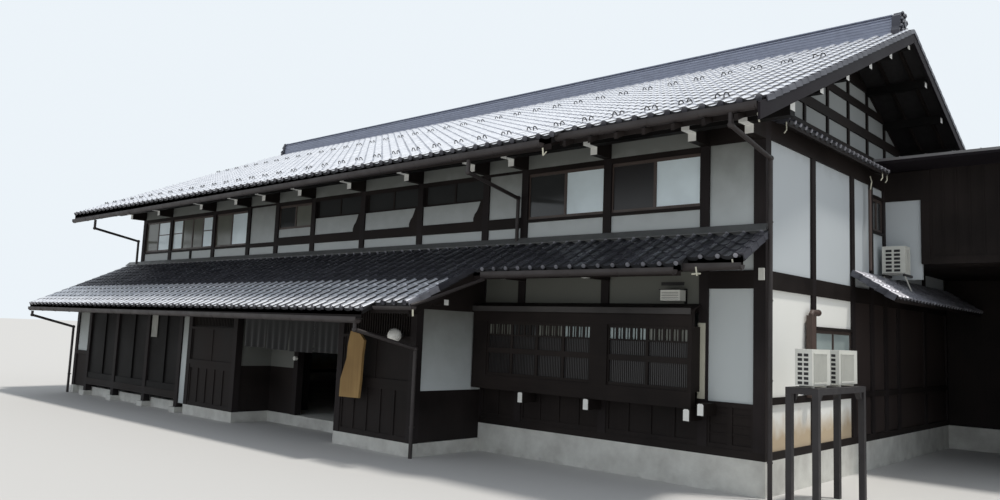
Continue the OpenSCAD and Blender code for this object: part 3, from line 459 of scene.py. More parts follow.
def stone_face(name, tone, shade):
    """Dressed stone, blotched, and darker where it meets the ground."""
    made, tree, bsdf = finish(name, Roughness=0.85)
    grime = use(tree, GRIME_AND_SHADE, Top=0.02, Fade=0.25, Blotch_Scale=2.5)
    speckle = use(tree, SPECKLE, Scale=30.0)
    surface = mix(tree, grime.outputs["Blotches"], colour(tone), colour(shade))
    surface = mix(tree, grime.outputs["Low"], surface, colour(shade, 0.6))
    tree.links.new(surface, bsdf.inputs["Base Color"])
    bump(tree, bsdf, speckle.outputs["Height"], 0.5, 0.006)
    return made


def window_pane(name, tone, roughness=0.06):
    """Glass in front of a dim room."""
    made, tree, bsdf = finish(name, Metallic=0.0, IOR=1.5, Specular_IOR_Level=0.5)
    speckle = use(tree, SPECKLE, Scale=1.2)
    surface = mix(tree, times(tree, speckle.outputs["Spots"], 0.3), colour(tone), colour(tone, 0.6))
    tree.links.new(surface, bsdf.inputs["Base Color"])
    tree.links.new(ramp(tree, speckle.outputs["Height"], 0, 1, roughness, roughness + 0.1),
                   bsdf.inputs["Roughness"])
    return made


def cloth(name, tone):
    """Plain woven cloth."""
    made, tree, bsdf = finish(name, Roughness=0.9, Sheen_Weight=0.2)
    yarn = {"Vector": node(tree, "TexCoord").outputs["Object"], "Scale": 180.0, "Distortion": 0.4}
    warp, weft = (node(tree, "TexWave", yarn, bands_direction=d).outputs["Fac"] for d in "XZ")
    threads = times(tree, warp, weft)
    tree.links.new(mix(tree, threads, colour(tone, 0.75), colour(tone)), bsdf.inputs["Base Color"])
    bump(tree, bsdf, threads, 0.2, 0.001)
    return made


BLACK_BROWN = (0.0085, 0.0066, 0.0062)
WARM_BLACK = (0.026, 0.0205, 0.0188)
POST_WOOD = timber("post_wood", "z", (0.011, 0.0088, 0.0088), (0.031, 0.0255, 0.0255))
BEAM_WOOD = timber("beam_wood", "x", BLACK_BROWN, WARM_BLACK)
SIDE_WOOD = timber("side_beam_wood", "y", BLACK_BROWN, WARM_BLACK)
BOARD_WOOD = timber("board_wood", "z", (0.009, 0.0072, 0.0068), (0.027, 0.0215, 0.020))
SHUTTER_WOOD = timber("shutter_wood", "z", (0.0050, 0.0046, 0.0046), (0.0125, 0.0115, 0.0112))
FASCIA_WOOD = timber("fascia_wood", "y", (0.0095, 0.0078, 0.0095), (0.021, 0.0175, 0.0210))
SASH_WOOD = timber("sash_wood", "z", (0.012, 0.0098, 0.009), (0.030, 0.024, 0.022))
BROWN_WALL = timber("brown_wall", "z", (0.026, 0.020, 0.0185), (0.050, 0.038, 0.035))
SIGN_WOOD = timber("sign_wood", "z", (0.21, 0.125, 0.048), (0.41, 0.27, 0.115), 0.55, 14.0)
FLOOR_WOOD = timber("floor_wood", "x", (0.12, 0.08, 0.05), (0.28, 0.20, 0.13))
# Painted shade: the front and rear plaster is painted darker from about 4 m up towards the eaves; its low
# tone is a stain.
FRONT_PLASTER = lime_plaster("front_plaster", (0.56, 0.60, 0.60), (0.47, 0.50, 0.50), (0.45, 0.46, 0.44), 0.2,
                             [(3.95, 1.15, (0.19, 0.20, 0.185))])
SHADED_PLASTER = lime_plaster("shaded_plaster", (0.15, 0.155, 0.135), (0.12, 0.12, 0.105),
                              (0.20, 0.20, 0.18), 0.2)
SHADED_PORCH_PLASTER = lime_plaster("shaded_porch_plaster", (0.17, 0.175, 0.16), (0.13, 0.135, 0.12),
                             (0.15, 0.15, 0.13), 0.2)
# Painted shade: the wing's plaster is painted darker from about 1.5 m up, under its low roof.
WING_PLASTER = lime_plaster("wing_plaster", (0.56, 0.60, 0.60), (0.47, 0.50, 0.49), (0.45, 0.46, 0.44), 0.2,
                            [(1.20, 1.25, (0.20, 0.205, 0.185))])
# Painted sunlight and shade on the gable wall: cream below about 3.2 m where the sun reaches it, a warm beige
# foot that is partly the dado's own colour and partly painted warm reflected light, bluish grey above in the
# verge's shadow, and darker still under the eaves.
SIDE_PLASTER = lime_plaster("side_plaster", (0.93, 0.93, 0.88), (0.88, 0.87, 0.82), (0.58, 0.46, 0.31), 1.0,
                            [(2.95, 0.12, (0.56, 0.60, 0.62)), (4.9, 0.6, (0.33, 0.35, 0.345))])
# Painted reflection: the same smoked tiles as the slate ones, painted near white where they mirror the bright
# sky and the sun.
SKY_SHEEN_TILE = fired_tile("sky_sheen_tile", (0.86, 0.87, 0.91), (0.66, 0.68, 0.73), 0.35, 0.32)
SLATE_TILE = fired_tile("slate_tile", (0.150, 0.152, 0.176), (0.070, 0.070, 0.085), 0.45, 0.30)
VERGE_TILE = fired_tile("verge_tile", (0.085, 0.085, 0.105), (0.055, 0.055, 0.070), 0.2, 0.45)
JOINT_SHADE = fired_tile("joint_shade", (0.030, 0.030, 0.034), (0.018, 0.018, 0.021), 0.0, 0.7)
# Painted highlights: tile ends and lit rows are painted pale where they catch the light.
HIGHLIT_TILE = fired_tile("highlit_tile", (0.45, 0.45, 0.50), (0.28, 0.28, 0.31), 0.3, 0.35)
RIDGE_TILE = fired_tile("ridge_tile", (0.42, 0.45, 0.54), (0.30, 0.325, 0.41), 0.2, 0.45)
GUTTER_PAINT = painted("gutter_paint", (0.030, 0.0235, 0.023), 0.5)
WINDOW_PAINT = painted("window_paint", (0.072, 0.052, 0.044), 0.4)
CASING_PAINT = painted("casing_paint", (0.72, 0.72, 0.66), 0.4)
WHITE_PAINT = painted("white_paint", (0.86, 0.86, 0.82), 0.6, worn=0.1)
CREAM_PAINT = painted("cream_paint", (0.62, 0.60, 0.48), 0.6)
DARK_PAINT = painted("dark_paint", (0.018, 0.0165, 0.0175), 0.6)
STAND_PAINT = painted("stand_paint", (0.019, 0.0155, 0.0165), 0.45)
DUCT_PAINT = painted("duct_paint", (0.085, 0.055, 0.045), 0.45)
FLASHING_METAL = painted("flashing_metal", (0.17, 0.175, 0.175), 0.45, 0.3)
SHEET_METAL = painted("sheet_metal", (0.045, 0.042, 0.045), 0.5, 0.2)
PALE_METAL = painted("pale_metal", (0.24, 0.235, 0.24), 0.45, 0.2)
GRILLE_PAINT = painted("grille_paint", (0.30, 0.30, 0.27), 0.5)
BASE_STONE = stone_face("base_stone", (0.74, 0.74, 0.69), (0.55, 0.54, 0.50))
GREY_WOOD = timber("grey_wood", "x", (0.030, 0.028, 0.027), (0.085, 0.080, 0.077))
DARK_GLASS = window_pane("dark_glass", (0.022, 0.021, 0.022), 0.28)
DIM_GLASS = window_pane("dim_glass", (0.040, 0.042, 0.042))
GREY_GLASS = window_pane("grey_glass", (0.16, 0.165, 0.14), 0.12)
# Painted reflection: the pale panes are painted bluish white, as they mirror the bright sky.
SKY_REFLECTION_GLASS = window_pane("sky_reflection_glass", (0.82, 0.94, 0.98), 0.12)
CLOUDED_GLASS = window_pane("clouded_glass", (0.40, 0.47, 0.46), 0.12)
CURTAIN_CLOTH = cloth("curtain_cloth", (0.0095, 0.0095, 0.0095))
OPAL_GLASS = painted("opal_glass", (0.86, 0.85, 0.80), 0.2)


def dress(finishes, *names, pick=None):
    """Gives CAD nodes their material, or each face one of several by the middle of the face."""
    finishes = finishes if isinstance(finishes, list) else [finishes]
    for name in names:
        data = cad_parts[name].data
        data.materials.clear()
        for made in finishes:
            data.materials.append(made)
        if pick:
            for face in data.polygons:
                face.material_index = pick(face.center - Vector(CORNER), face.normal)


def inside(**limits):
    """Picks a node's second finish for faces whose middle lies between the limits given for x, y or z."""
    def pick(middle, normal):
        return int(all(lo < getattr(middle, axis) < hi for axis, (lo, hi) in limits.items()))
    return pick


def sheet_finish(middle, normal):
    """Only the top of the rear wing's roof is metal."""
    return int(normal.z <= 0.5)


def low_roof_finish(middle, normal):
    """The strip that is turned up against the wall is pale metal, the slab under the tiles dark."""
    return int(middle.z > STRIP_FOOT and middle.y > -0.0601 and normal.y < 0.2)


def pane_finish(middle, normal):
    """The tone of the light that a face belongs to; the panes of the other walls are dim."""
    if middle.y < 0.2:
        for (lo, hi), tone in zip(FRONT_LIGHTS, LIGHT_TONES):
            if lo[0] - 0.01 < middle.x < hi[0] + 0.01:
                return tone
    return 1


def dress_nodes():
    """The finish of every node."""
    dress(POST_WOOD, "main_posts", "wing_posts")
    dress(BEAM_WOOD, "front_beams", "wing_beams", "lattice_bay")
    dress(SIDE_WOOD, "side_beams", "gable_struts", "rafters", "wall_brackets", "gable_pents")
    dress(BOARD_WOOD, "wall_boards", "rear_wing_walls")
    dress(SHUTTER_WOOD, "storm_shutters", "purlins")
    dress(SASH_WOOD, "bay_sashes", "wing_lattices")
    dress(FASCIA_WOOD, "bargeboards")
    # Painted shade: the panels over the lattice bay and the walls inside the entrance lie in deep shade, and
    # are given darker plaster
    dress([FRONT_PLASTER, SHADED_PLASTER], "front_plaster", pick=inside(x=(-5.5, -1.0), z=(2.4, 3.0)))
    dress([WING_PLASTER, SHADED_PORCH_PLASTER], "wing_plaster",
          pick=inside(x=(-19.0, -5.6), y=(WING_FACE + 0.12, FAR)))
    dress(FRONT_PLASTER, "rear_plaster")
    # Under the lean-to roof the side wall is brown
    dress([SIDE_PLASTER, BROWN_WALL], "side_plaster", pick=inside(x=(-1.0, FAR), y=(3.5, FAR), z=(0.0, 2.9)))
    # The sashes of the high lights in the middle of the front are dark wood
    dress([WINDOW_PAINT, SASH_WOOD], "upper_sashes",
          pick=inside(x=(FRONT_POSTS[7][0][0], FRONT_POSTS[4][0][0]), y=(-FAR, 0.3)))
    dress(WINDOW_PAINT, "lower_sashes")
    dress([DARK_GLASS, DIM_GLASS, GREY_GLASS, SKY_REFLECTION_GLASS], "upper_glass", pick=pane_finish)
    dress(CLOUDED_GLASS, "lower_glass")
    dress(DARK_GLASS, "bay_glass")
    dress(RIDGE_TILE, "main_ridge")
    dress(SLATE_TILE, "ridge_ornaments")
    dress(DARK_PAINT, "main_roof_front", "main_roof_rear")
    dress([DARK_PAINT, FLASHING_METAL], "wing_roof", "pent_roof", pick=low_roof_finish)
    dress([SHEET_METAL, FASCIA_WOOD], "rear_wing_roof", pick=sheet_finish)
    dress(BASE_STONE, "foundation", "ground_floor", "wing_floor")
    dress(FLOOR_WOOD, "upper_floor")
    dress(GUTTER_PAINT, "gutters", "downpipes")
    dress(CASING_PAINT, "air_conditioners")
    # The ducts on the gable wall are brown, the other small fittings pale
    dress([CASING_PAINT, DUCT_PAINT], "wall_fittings", pick=inside(x=(-0.01, FAR), y=(1.4, FAR)))
    dress(STAND_PAINT, "unit_stand")
    dress(SIGN_WOOD, "sign_plank")
    dress(OPAL_GLASS, "lamps")
    for name, width in (("air_conditioners", 0.012), ("sign_plank", 0.008), ("main_posts", 0.004),
                        ("unit_stand", 0.005), ("wing_posts", 0.004)):
        ease_edges(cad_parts[name], width, 2)


# Roof tiles

# One tile across: how far along it, and how high its face is
TILE_LINE = [(0.0, 0.026), (0.028, 0.012), (0.065, 0.004), (0.105, 0.003), (0.140, 0.010),
             (0.165, 0.026), (0.190, 0.046), (0.215, 0.054), (0.240, 0.046), (0.260, 0.030)]

ROLL = 0.79            # where the middle of a tile's roll stands, as a share of its width
EAVE_REACH = 0.02      # how far the lowest course reaches past the eave
EAVE_EDGE = 0.055      # how deep the lowest course's edge is
TILE_LAP = 0.01        # how far a tile goes under the next one up
END_RING = circle(1.0, 10)

ACROSS = {"front": (1, 0), "rear": (-1, 0), "right": (0, 1), "left": (0, -1)}
INTO = {"front": (0, 1), "rear": (0, -1), "right": (-1, 0), "left": (1, 0)}


class Slope:
    """The upper face of a sloping slab: its lower left corner, and the ways across, up and out of it."""

    def __init__(self, box, thick, facing, head_drop=0.0):
        lo, hi = (Vector(c) for c in box)
        self.across = Vector((*ACROSS[facing], 0))
        self.into = Vector((*INTO[facing], 0))
        start = {"front": (lo.x, lo.y), "rear": (hi.x, hi.y), "right": (hi.x, lo.y), "left": (lo.x, hi.y)}
        self.start = Vector((*start[facing], lo.z + thick))
        size = hi - lo
        self.width = abs(size.dot(self.across))
        run = abs(size.dot(self.into))
        rise = hi.z - head_drop - self.start.z
        self.length = math.hypot(run, rise)
        self.along = (run * self.into + Vector((0, 0, rise))) / self.length
        self.up = self.across.cross(self.along)
        self.eave = (0.0, self.width)

    def stepped(self, name):
        """Reads from the node's corners where the eave reaches past its stepped ends."""
        reach = [(Vector(p) - self.start).dot(self.across) for p in corners(name)
                 if abs((Vector(p) - self.start).dot(self.into)) < 1e-3]
        self.eave = (min(reach), max(reach))
        return self

    def at(self, u, s, h):
        """The point at u across, s up the slope and h out of it."""
        return self.start + u * self.across + s * self.along + h * self.up

    def short(self, u):
        """Whether the eave steps back at u."""
        return not self.eave[0] - 0.001 <= u <= self.eave[1] + 0.001


SLOPES = {
    "front": Slope(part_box("main_roof_front"), MAIN_ROOF_T, "front").stepped("main_roof_front"),
    "rear": Slope(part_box("main_roof_rear"), MAIN_ROOF_T, "rear").stepped("main_roof_rear"),
    "wing": Slope(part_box("wing_roof"), LOW_ROOF_T, "front", FLASHING_UP).stepped("wing_roof"),
    "bay_roof": Slope(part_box("pent_roof"), LOW_ROOF_T, "front", FLASHING_UP).stepped("pent_roof"),
}


def set_tones(piece, tones=None):
    """Each tile's own tone from 0 to 1; where none are given, each corner has its own."""
    if tones is None:
        tones = rng.uniform(0, 1, len(piece.data.vertices)).astype(np.float32)
    piece.data.attributes.new("tile_tone", "FLOAT", "POINT").data.foreach_set("value", tones)


def tile_slope(name, slope, finishes, slot_name, side=0.02, head=0.05, lit_rows=0, course=COURSE,
               tile_w=TILE_W, disc=0.046):
    """Courses of curved tiles; finishes are the body's, the lowest lit rows' (painted lighter), the round
    ends' and the joints' (painted shade in the joints and along the eave's edge).
    """
    end_slot, shade_slot = 2, 3
    columns = max(1, round((slope.width - 2 * side) / tile_w))
    width = (slope.width - 2 * side) / columns
    rows = max(1, round((slope.length - head) / course))
    depth = (slope.length - head) / rows
    size = tile_w / TILE_W
    line = [(u * width / TILE_W, h * size) for u, h in TILE_LINE]
    n = len(line)
    shape = Shape()
    tones = []
    for row in range(rows):
        for column in range(columns):
            left = side + column * width
            short = slope.short(left + width / 2)
            if short and row == 0:
                continue
            first = row == (1 if short else 0)
            # Painted sunlight: the lowest lit rows take the second, lighter finish.
            body_slot = 1 if row < lit_rows else 0
            lift, tone = rng.uniform(-0.0015, 0.0015), rng.uniform(0, 1)
            tail = row * depth - (EAVE_REACH if first else 0.0)
            head_end = (row + 1) * depth + TILE_LAP
            lip = TILE_T - (EAVE_EDGE if first else TILE_T)
            points = [slope.at(left + u, s, h + out + lift)
                      for s, out in ((tail, TILE_T), (head_end, 0.002), (tail + 0.004, lip))
                      for u, h in line]
            faces, slots = [], []
            for i in range(n - 1):
                faces += [(i, i + 1, n + i + 1, n + i), (2 * n + i, 2 * n + i + 1, i + 1, i)]
                # Painted shade: the face along each tile's joint, and the edge of the lowest course, take the
                # dark shade finish.
                slots += [body_slot if i else shade_slot, shade_slot if first else body_slot]
            shape.add(points, faces + [(n - 1, 3 * n - 1, 2 * n - 1)], slots + [shade_slot])
            tones += [tone] * len(points)
            if first:
                middle = left + width * ROLL
                rings = [[slope.at(middle + disc * size * u, tail + s, (0.030 + disc * v) * size)
                          for u, v in END_RING] for s in (-0.012, 0.01)]
                shape.round_end(*rings, end_slot)
                tones += [tone] * 2 * len(END_RING)
    set_tones(shape.piece(name, finishes, slot_name, smooth=40, closed=False), tones)


def verge_tiles(name, slope, out, drop, course=COURSE, ends=("low", "high"), tile=VERGE_TILE, lit_rows=0):
    """The tiles along a roof's sloping ends, turned down over the edge."""
    shape = Shape()
    rows = max(1, round(slope.length / course))
    depth = slope.length / rows
    line = [(-0.035, 0.030), (out - 0.02, 0.036), (out, 0.028), (out, -drop), (out - 0.018, -drop),
            (out - 0.018, 0.012), (-0.035, 0.010)]
    for end in ends:
        edge, sign = (0.0, -1) if end == "low" else (slope.width, 1)
        # The lowest lit rows are painted pale, as sunlit highlights.
        for row in range(1 if slope.short(edge) else 0, rows):
            shape.bar(*([slope.at(edge + sign * u, s, h + lift) for u, h in line]
                        for s, lift in ((row * depth - 0.01, 0.016), ((row + 1) * depth, 0.0))),
                      slot=1 if row < lit_rows else 0)
    set_tones(shape.piece(name, [tile, HIGHLIT_TILE], "dark_roof_tiles", smooth=30))


def flashing(name, slope):
    """The metal strip that covers the top course along the wall, and the roll ends that show under it,
    painted pale as highlights.
    """
    strip, stops = Shape(), Shape()
    low = slope.length - 0.115
    top = slope.at(0, slope.length, 0.0) + Vector((0, 0, 0.125)) - 0.02 * slope.into
    profile = [slope.at(0, low, 0.078), slope.at(0, low, 0.060), slope.at(0, slope.length, 0.050), top]
    strip.bar(profile, [p + slope.width * slope.across for p in profile])
    strip.piece(name, FLASHING_METAL, "painted_casing")
    count = round(slope.width / TILE_W)
    for k in range(count):
        middle = slope.width * (k + ROLL) / count
        ring = [slope.at(middle + u, low - 0.004, 0.050 + v) for u, v in circle(0.030, 8)]
        stops.round_end(ring, [p + 0.02 * slope.along for p in ring])
    set_tones(stops.piece(name + "_roll_ends", HIGHLIT_TILE, "dark_roof_tiles"))


def snow_guards(name, slope, rows):
    """Pairs of small iron hoops at an even spacing, which hold the snow."""
    margin, spacing = 0.35, 0.56
    shape = Shape()
    for distance in rows:
        middle = margin
        while middle < slope.width - margin:
            for shift in (0.0, 0.13):
                shape.tube([slope.at(middle + shift - u, distance, 0.045 + v)
                            for u, v in arc(0.040, math.pi, 6, high=0.065)], 0.009, 5)
            middle += spacing
    shape.piece(name, DARK_PAINT, "dark_roof_tiles")


def eave_board(shape, slope, u0, u1, s, deep):
    """A fascia board that hangs under the tiles' lower edge."""
    start = slope.at(u0, s, 0) + Vector((0, 0, -0.004))
    side, back = (u1 - u0) * slope.across, 0.022 * slope.into
    top = [start, start + side, start + side + back, start + back]
    shape.bar(top, [p + Vector((0, 0, -deep)) for p in top])


def roofs():
    """The tiles, verges and snow guards of the main roof and the two low roofs."""
    for name in ("front", "rear"):
        slope = SLOPES[name]
        tile_slope(name + "_tiles", slope, [SKY_SHEEN_TILE, SKY_SHEEN_TILE, SLATE_TILE, JOINT_SHADE],
                   "pale_roof_tiles", head=0.10, side=0.0)
        verge_tiles(name + "_verge_tiles", slope, 0.047, 0.045)
        snow_guards(name + "_snow_guards", slope, (0.78, 4.55))
    # Painted sunlight and sky reflection: the wing's lowest courses and verge tiles are painted pale; the
    # courses above keep the dark slate, in the main eave's shadow.
    tile_slope("wing_tiles", SLOPES["wing"], [SLATE_TILE, SKY_SHEEN_TILE, SLATE_TILE, JOINT_SHADE],
               "dark_roof_tiles", lit_rows=5)
    verge_tiles("wing_verge_tiles", SLOPES["wing"], 0.030, 0.060, tile=SLATE_TILE, lit_rows=4)
    # The bay roof's round ends are painted pale as highlights.
    tile_slope("bay_roof_tiles", SLOPES["bay_roof"], [SLATE_TILE, SLATE_TILE, HIGHLIT_TILE, JOINT_SHADE],
               "dark_roof_tiles", disc=0.034)
    verge_tiles("bay_roof_verge_tiles", SLOPES["bay_roof"], 0.030, 0.060, ends=("high",), tile=SLATE_TILE)
    flashing("wing_flashing", SLOPES["wing"])
    flashing("bay_roof_flashing", SLOPES["bay_roof"])


def fascia_boards():
    """Boards under the eaves, which follow their steps."""
    boards = Shape()
    for name, deep in (("front", 0.19), ("rear", 0.19), ("wing", 0.15), ("bay_roof", 0.15)):
        slope = SLOPES[name]
        low, high = slope.eave
        back = EAVE_STEP / slope.along.dot(slope.into)
        for u0, u1, s in ((low, high, 0.0), (0.0, low, back), (high, slope.width, back)):
            if u1 - u0 > 0.01:
                eave_board(boards, slope, u0, u1, s, deep)
    boards.piece("fascia_boards", BEAM_WOOD, "dark_timber")


def gable_roofs():
    """The narrow roofs on the gables and the lean-to, with smaller tiles."""
    for box in sorted(solids("gable_pents"), key=lambda b: b[0][0] + b[0][2]):
        lean_to = box[1][2] < 4.0
        facing = "left" if box[0][0] < 0 else "right"
        slope = Slope(box, 0.080 if lean_to else 0.070, facing)
        title = "lean_to" if lean_to else facing + "_gable_roof"
        # The round ends are painted pale as highlights, and all the lean-to's rows are painted pale as lit.
        tile_slope(title + "_tiles", slope, [SLATE_TILE, HIGHLIT_TILE, HIGHLIT_TILE, JOINT_SHADE],
                   "dark_roof_tiles", head=0.0, course=SMALL_COURSE, tile_w=SMALL_TILE_W, disc=0.038,
                   lit_rows=9 if lean_to else 0)
        verge_tiles(title + "_verge_tiles", slope, 0.02, 0.075, course=SMALL_COURSE, tile=SLATE_TILE)


CAP_LENGTH = 0.30      # about, of each of the ridge's round tiles


def ridge():
    """Courses of flat tiles along the ridge stack, and its round cap with a band at each tile."""
    lo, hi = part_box("main_ridge")
    middle, half = (lo.y + hi.y) / 2, (hi.y - lo.y) / 2
    cap_z = hi.z - 0.012
    first, pitch = lo.z + 0.115, 0.058
    shape = Shape()
    for k in range(6):
        z = first + pitch * k
        reach = half - 0.030 * (z - lo.z) / (hi.z - lo.z) + 0.010
        shape.box((lo.x, middle - reach, z), (hi.x, middle + reach, z + 0.016))
    cap = arc(0.085, math.pi, 12, high=0.062)
    shape.prism([(middle + y, cap_z + z) for y, z in cap], "x", lo.x, hi.x)
    band = [(middle + 1.06 * y, cap_z + 1.09 * z) for y, z in cap]
    count = round((hi.x - lo.x) / CAP_LENGTH)
    for k in range(1, count):
        x = lo.x + (hi.x - lo.x) * k / count
        shape.prism(band, "x", x - 0.018, x + 0.018)
    set_tones(shape.piece("ridge_courses", RIDGE_TILE, "dark_roof_tiles", smooth=35))


def ridge_crests():
    """Three pairs of scrolls and a disc on each end tile of the ridge."""
    shape = Shape()
    for lo, hi in solids("ridge_ornaments"):
        out = 1 if lo[0] > 0 else -1
        face = hi[0] if out > 0 else lo[0]
        middle, top = (lo[1] + hi[1]) / 2, hi[2]
        for turn in (-1, 1):
            for radius, off, drop in ((0.075, 0.15, 0.34), (0.060, 0.12, 0.19), (0.050, 0.07, 0.06)):
                path = []
                for k in range(17):
                    t, reach = 1.7 * math.pi * k / 16, radius * (1 - 0.6 * k / 16)
                    path.append((face + out * 0.015, middle + turn * (off + reach * math.cos(t)),
                                 top - drop + reach * math.sin(t)))
                shape.tube(path, 0.020, 6)
        shape.prism([(middle + y, top - 0.24 + z) for y, z in circle(0.060, 16)],
                    "x", face, face + out * 0.04)
    shape.piece("ridge_crests", SLATE_TILE, "dark_roof_tiles", smooth=50)


# Timber details

BRACKET_STEP = 0.125     # the height of a bracket's lower step, and its reach to the tip
BRACKET_TIP = 0.200
PAINT_SKIN = 0.004       # white paint on the timbers' ends


def white_ends():
    """White paint on the ends of the brackets, purlins and joists."""
    shape = Shape()
    for lo, hi in solids("wall_brackets"):
        if hi[1] - lo[1] < 0.3:
            continue
        out = -1 if lo[1] < 0 else 1
        tip = lo[1] if out < 0 else hi[1]
        step, z = tip - out * BRACKET_TIP, lo[2] + BRACKET_STEP
        for a, b, z0, z1 in ((tip, tip + out * PAINT_SKIN, z - PAINT_SKIN, hi[2]),
                             (step, tip, z - PAINT_SKIN, z),
                             (step, step + out * PAINT_SKIN, lo[2], z)):
            shape.box((lo[0], min(a, b), z0), (hi[0], max(a, b), z1))
    for lo, hi in solids("purlins"):
        whole = hi[0] - lo[0] > 10     # from gable to gable
        z0, z1 = (lo[2] + 0.075, hi[2] - 0.02) if whole else (lo[2], hi[2] - 0.055)
        for x, x0 in ((hi[0], hi[0]), (lo[0], lo[0] - PAINT_SKIN)):
            if whole or abs(x) > HOUSE_HI.x:
                shape.box((x0, lo[1], z0), (x0 + PAINT_SKIN, hi[1], z1))
    points = corners("lattice_bay")
    front = points[:, 1].min()
    tips = points[points[:, 1] < front + 1e-4]
    sides = np.unique(np.round(tips[:, 0], 4))
    for x0, x1 in zip(sides[::2], sides[1::2]):
        heights = tips[(tips[:, 0] > x0 - 0.01) & (tips[:, 0] < x1 + 0.01), 2]
        inset, low, high = 0.14 * (x1 - x0), heights.min(), heights.max()
        x0, x1 = x0 + inset, x1 - inset
        shape.prism([(x0, low), (x1, low), (x1, high - 0.02), (x1 - inset, high - 0.004),
                     (x0 + inset, high - 0.004), (x0, high - 0.02)], "y", front - PAINT_SKIN, front)
    shape.piece("white_ends", WHITE_PAINT, "dark_timber")


def dado_panels():
    """Boards, battens and rails on the dados."""
    shape = Shape()
    x0, x1 = front_bay(1)
    for a, b in ((x0, (x0 + x1) / 2), ((x0 + x1) / 2, x1)):
        for u0, u1, z0, z1, thick in ((a, a + 0.035, SILL_TOP, DADO_TOP, 0.020),
                                      (b - 0.035, b, SILL_TOP, DADO_TOP, 0.020),
                                      (a, b, SILL_TOP, SILL_TOP + 0.06, 0.024),
                                      (a, b, DADO_TOP - 0.07, DADO_TOP, 0.024)):
            FRONT.lay(shape, u0, u1, z0, z1, thick)
        for z in (0.79, 0.91, 1.06):
            FRONT.lay(shape, a, b, z, z + 0.022, 0.014)
    for i in (2, 3, 4):
        x0, x1 = front_bay(i)
        FRONT.row(shape, x0, x1, SILL_TOP, 1.13, max(2, round((x1 - x0) / 0.45)), 0.045, 0.018, ends=True)
        FRONT.lay(shape, x0, x1, SILL_TOP, SILL_TOP + 0.07, 0.022)
    for i in range(1, len(FRONT_POSTS)):
        x0, x1 = front_bay(i)
        REAR.row(shape, x0, x1, SILL_TOP, DADO_TOP, max(2, round((x1 - x0) / 0.30)), 0.030, 0.014, ends=True)
    foot, top = 0.22, 1.14
    for i in (1, 3):
        x0, x1 = front_bay(i, WING_POSTS)
        WING.row(shape, x0, x1, foot, top, 5, 0.045, 0.018, ends=True)
        WING.lay(shape, x0, x1, foot, foot + 0.09, 0.022)
        WING.lay(shape, x0, x1, top - 0.08, top, 0.022)
        WING.row(shape, x0, x1, top + 0.10, 1.93, 2, 0.040, 0.012, ends=True)
    shape.piece("dado_battens", BOARD_WOOD, "wall_boards")


HIGH_RAIL_BAYS = (4, 9)     # where the rail over the windows is thinner


def friezes():
    """Plaster between the thin rail over the windows and the eave; at the front of the bay at the right a
    dark board stands there instead, as painted shade.
    """
    plaster, boards = Shape(), Shape()
    for wall in (Wall("x", 0.0, -1), Wall("x", HOUSE_D, 1)):
        for i in range(1, len(FRONT_POSTS)):
            x0, x1 = front_bay(i)
            # Painted shade: the right bay's front frieze lies in dark shadow, so it is a dark board.
            shade_boarded = i == 1 and wall.out < 0
            wall.lay(boards if shade_boarded else plaster, x0, x1, FRIEZE_FOOT, PLATE_TOP, 0.003)
            if not shade_boarded:
                rail_foot = 4.975 if i in HIGH_RAIL_BAYS else 4.935
                wall.lay(boards, x0, x1, rail_foot, FRIEZE_FOOT + 0.01, 0.006)
    plaster.piece("frieze_plaster", FRONT_PLASTER, "lime_plaster")
    boards.piece("frieze_rails_and_shade_board", BEAM_WOOD, "dark_timber")


def low_roof_arms():
    """The arms under the low roofs, with white ends."""
    arms, ends = Shape(), Shape()
    half, deep = 0.05, 0.10
    # Each one's middle across, tip, root and underside
    for x, tip, root, z in ((-2.69, -0.62, 0.02, 3.02), (-4.47, -0.62, 0.02, 3.03),
                            (-5.41, -2.25, -1.65, 2.36)):
        arms.box(spot(x - half, tip, z), spot(x + half, root, z + deep))
        ends.box(spot(x - half, tip - PAINT_SKIN, z), spot(x + half, tip, z + deep))
        ends.box(spot(x - half, tip, z - PAINT_SKIN), spot(x + half, tip + 0.09, z))
    # The one that carries the verge at the wing's right end
    root, tip = -5.40, -4.92
    arms.box(spot(root, -1.48, 2.53), spot(tip, -1.38, 2.62))
    ends.box(spot(tip, -1.48, 2.53), spot(tip + PAINT_SKIN, -1.38, 2.62))
    arms.piece("low_roof_arms", SIDE_WOOD, "dark_timber")
    ends.piece("low_roof_arm_ends", WHITE_PAINT, "dark_timber")


def shelf_edge():
    """The grey front edge of the lattice bay's shelf."""
    points = corners("lattice_bay") - CORNER
    points = points[points[:, 2] > 2.4]
    front = points[:, 1].min()
    edge = points[points[:, 1] < front + 0.001]
    x0, x1, top = edge[:, 0].min(), edge[:, 0].max(), edge[:, 2].max()
    shape = Shape()
    shape.box(spot(x0, front - 0.012, top - 0.045), spot(x1, front + 0.01, top + 0.045))
    shape.piece("bay_shelf_edge", GREY_WOOD, "joinery")


def short_gutter():
    """The short gutter under the stepped end of the wing's roof, and its pale end strap."""
    gutter, strap = Shape(), Shape()
    left, right = spot(-5.34, -2.60, 2.455), spot(-4.42, -2.60, 2.455)

    def half_round(radius):
        return [(left.y + y, left.z - z) for y, z in arc(radius, math.pi, 8)]

    gutter.prism(half_round(0.060) + half_round(0.054)[::-1], "x", left.x, right.x)
    for x in (left.x, right.x - 0.004):
        gutter.prism(half_round(0.058), "x", x, x + 0.004)
    strap.tube([right + Vector((0.01, -0.03, -0.05)), right + Vector((0.02, -0.03, -0.15))], 0.013, 6)
    gutter.piece("short_gutter", GUTTER_PAINT, "brown_gutter")
    strap.piece("short_gutter_strap", CREAM_PAINT, "painted_casing")


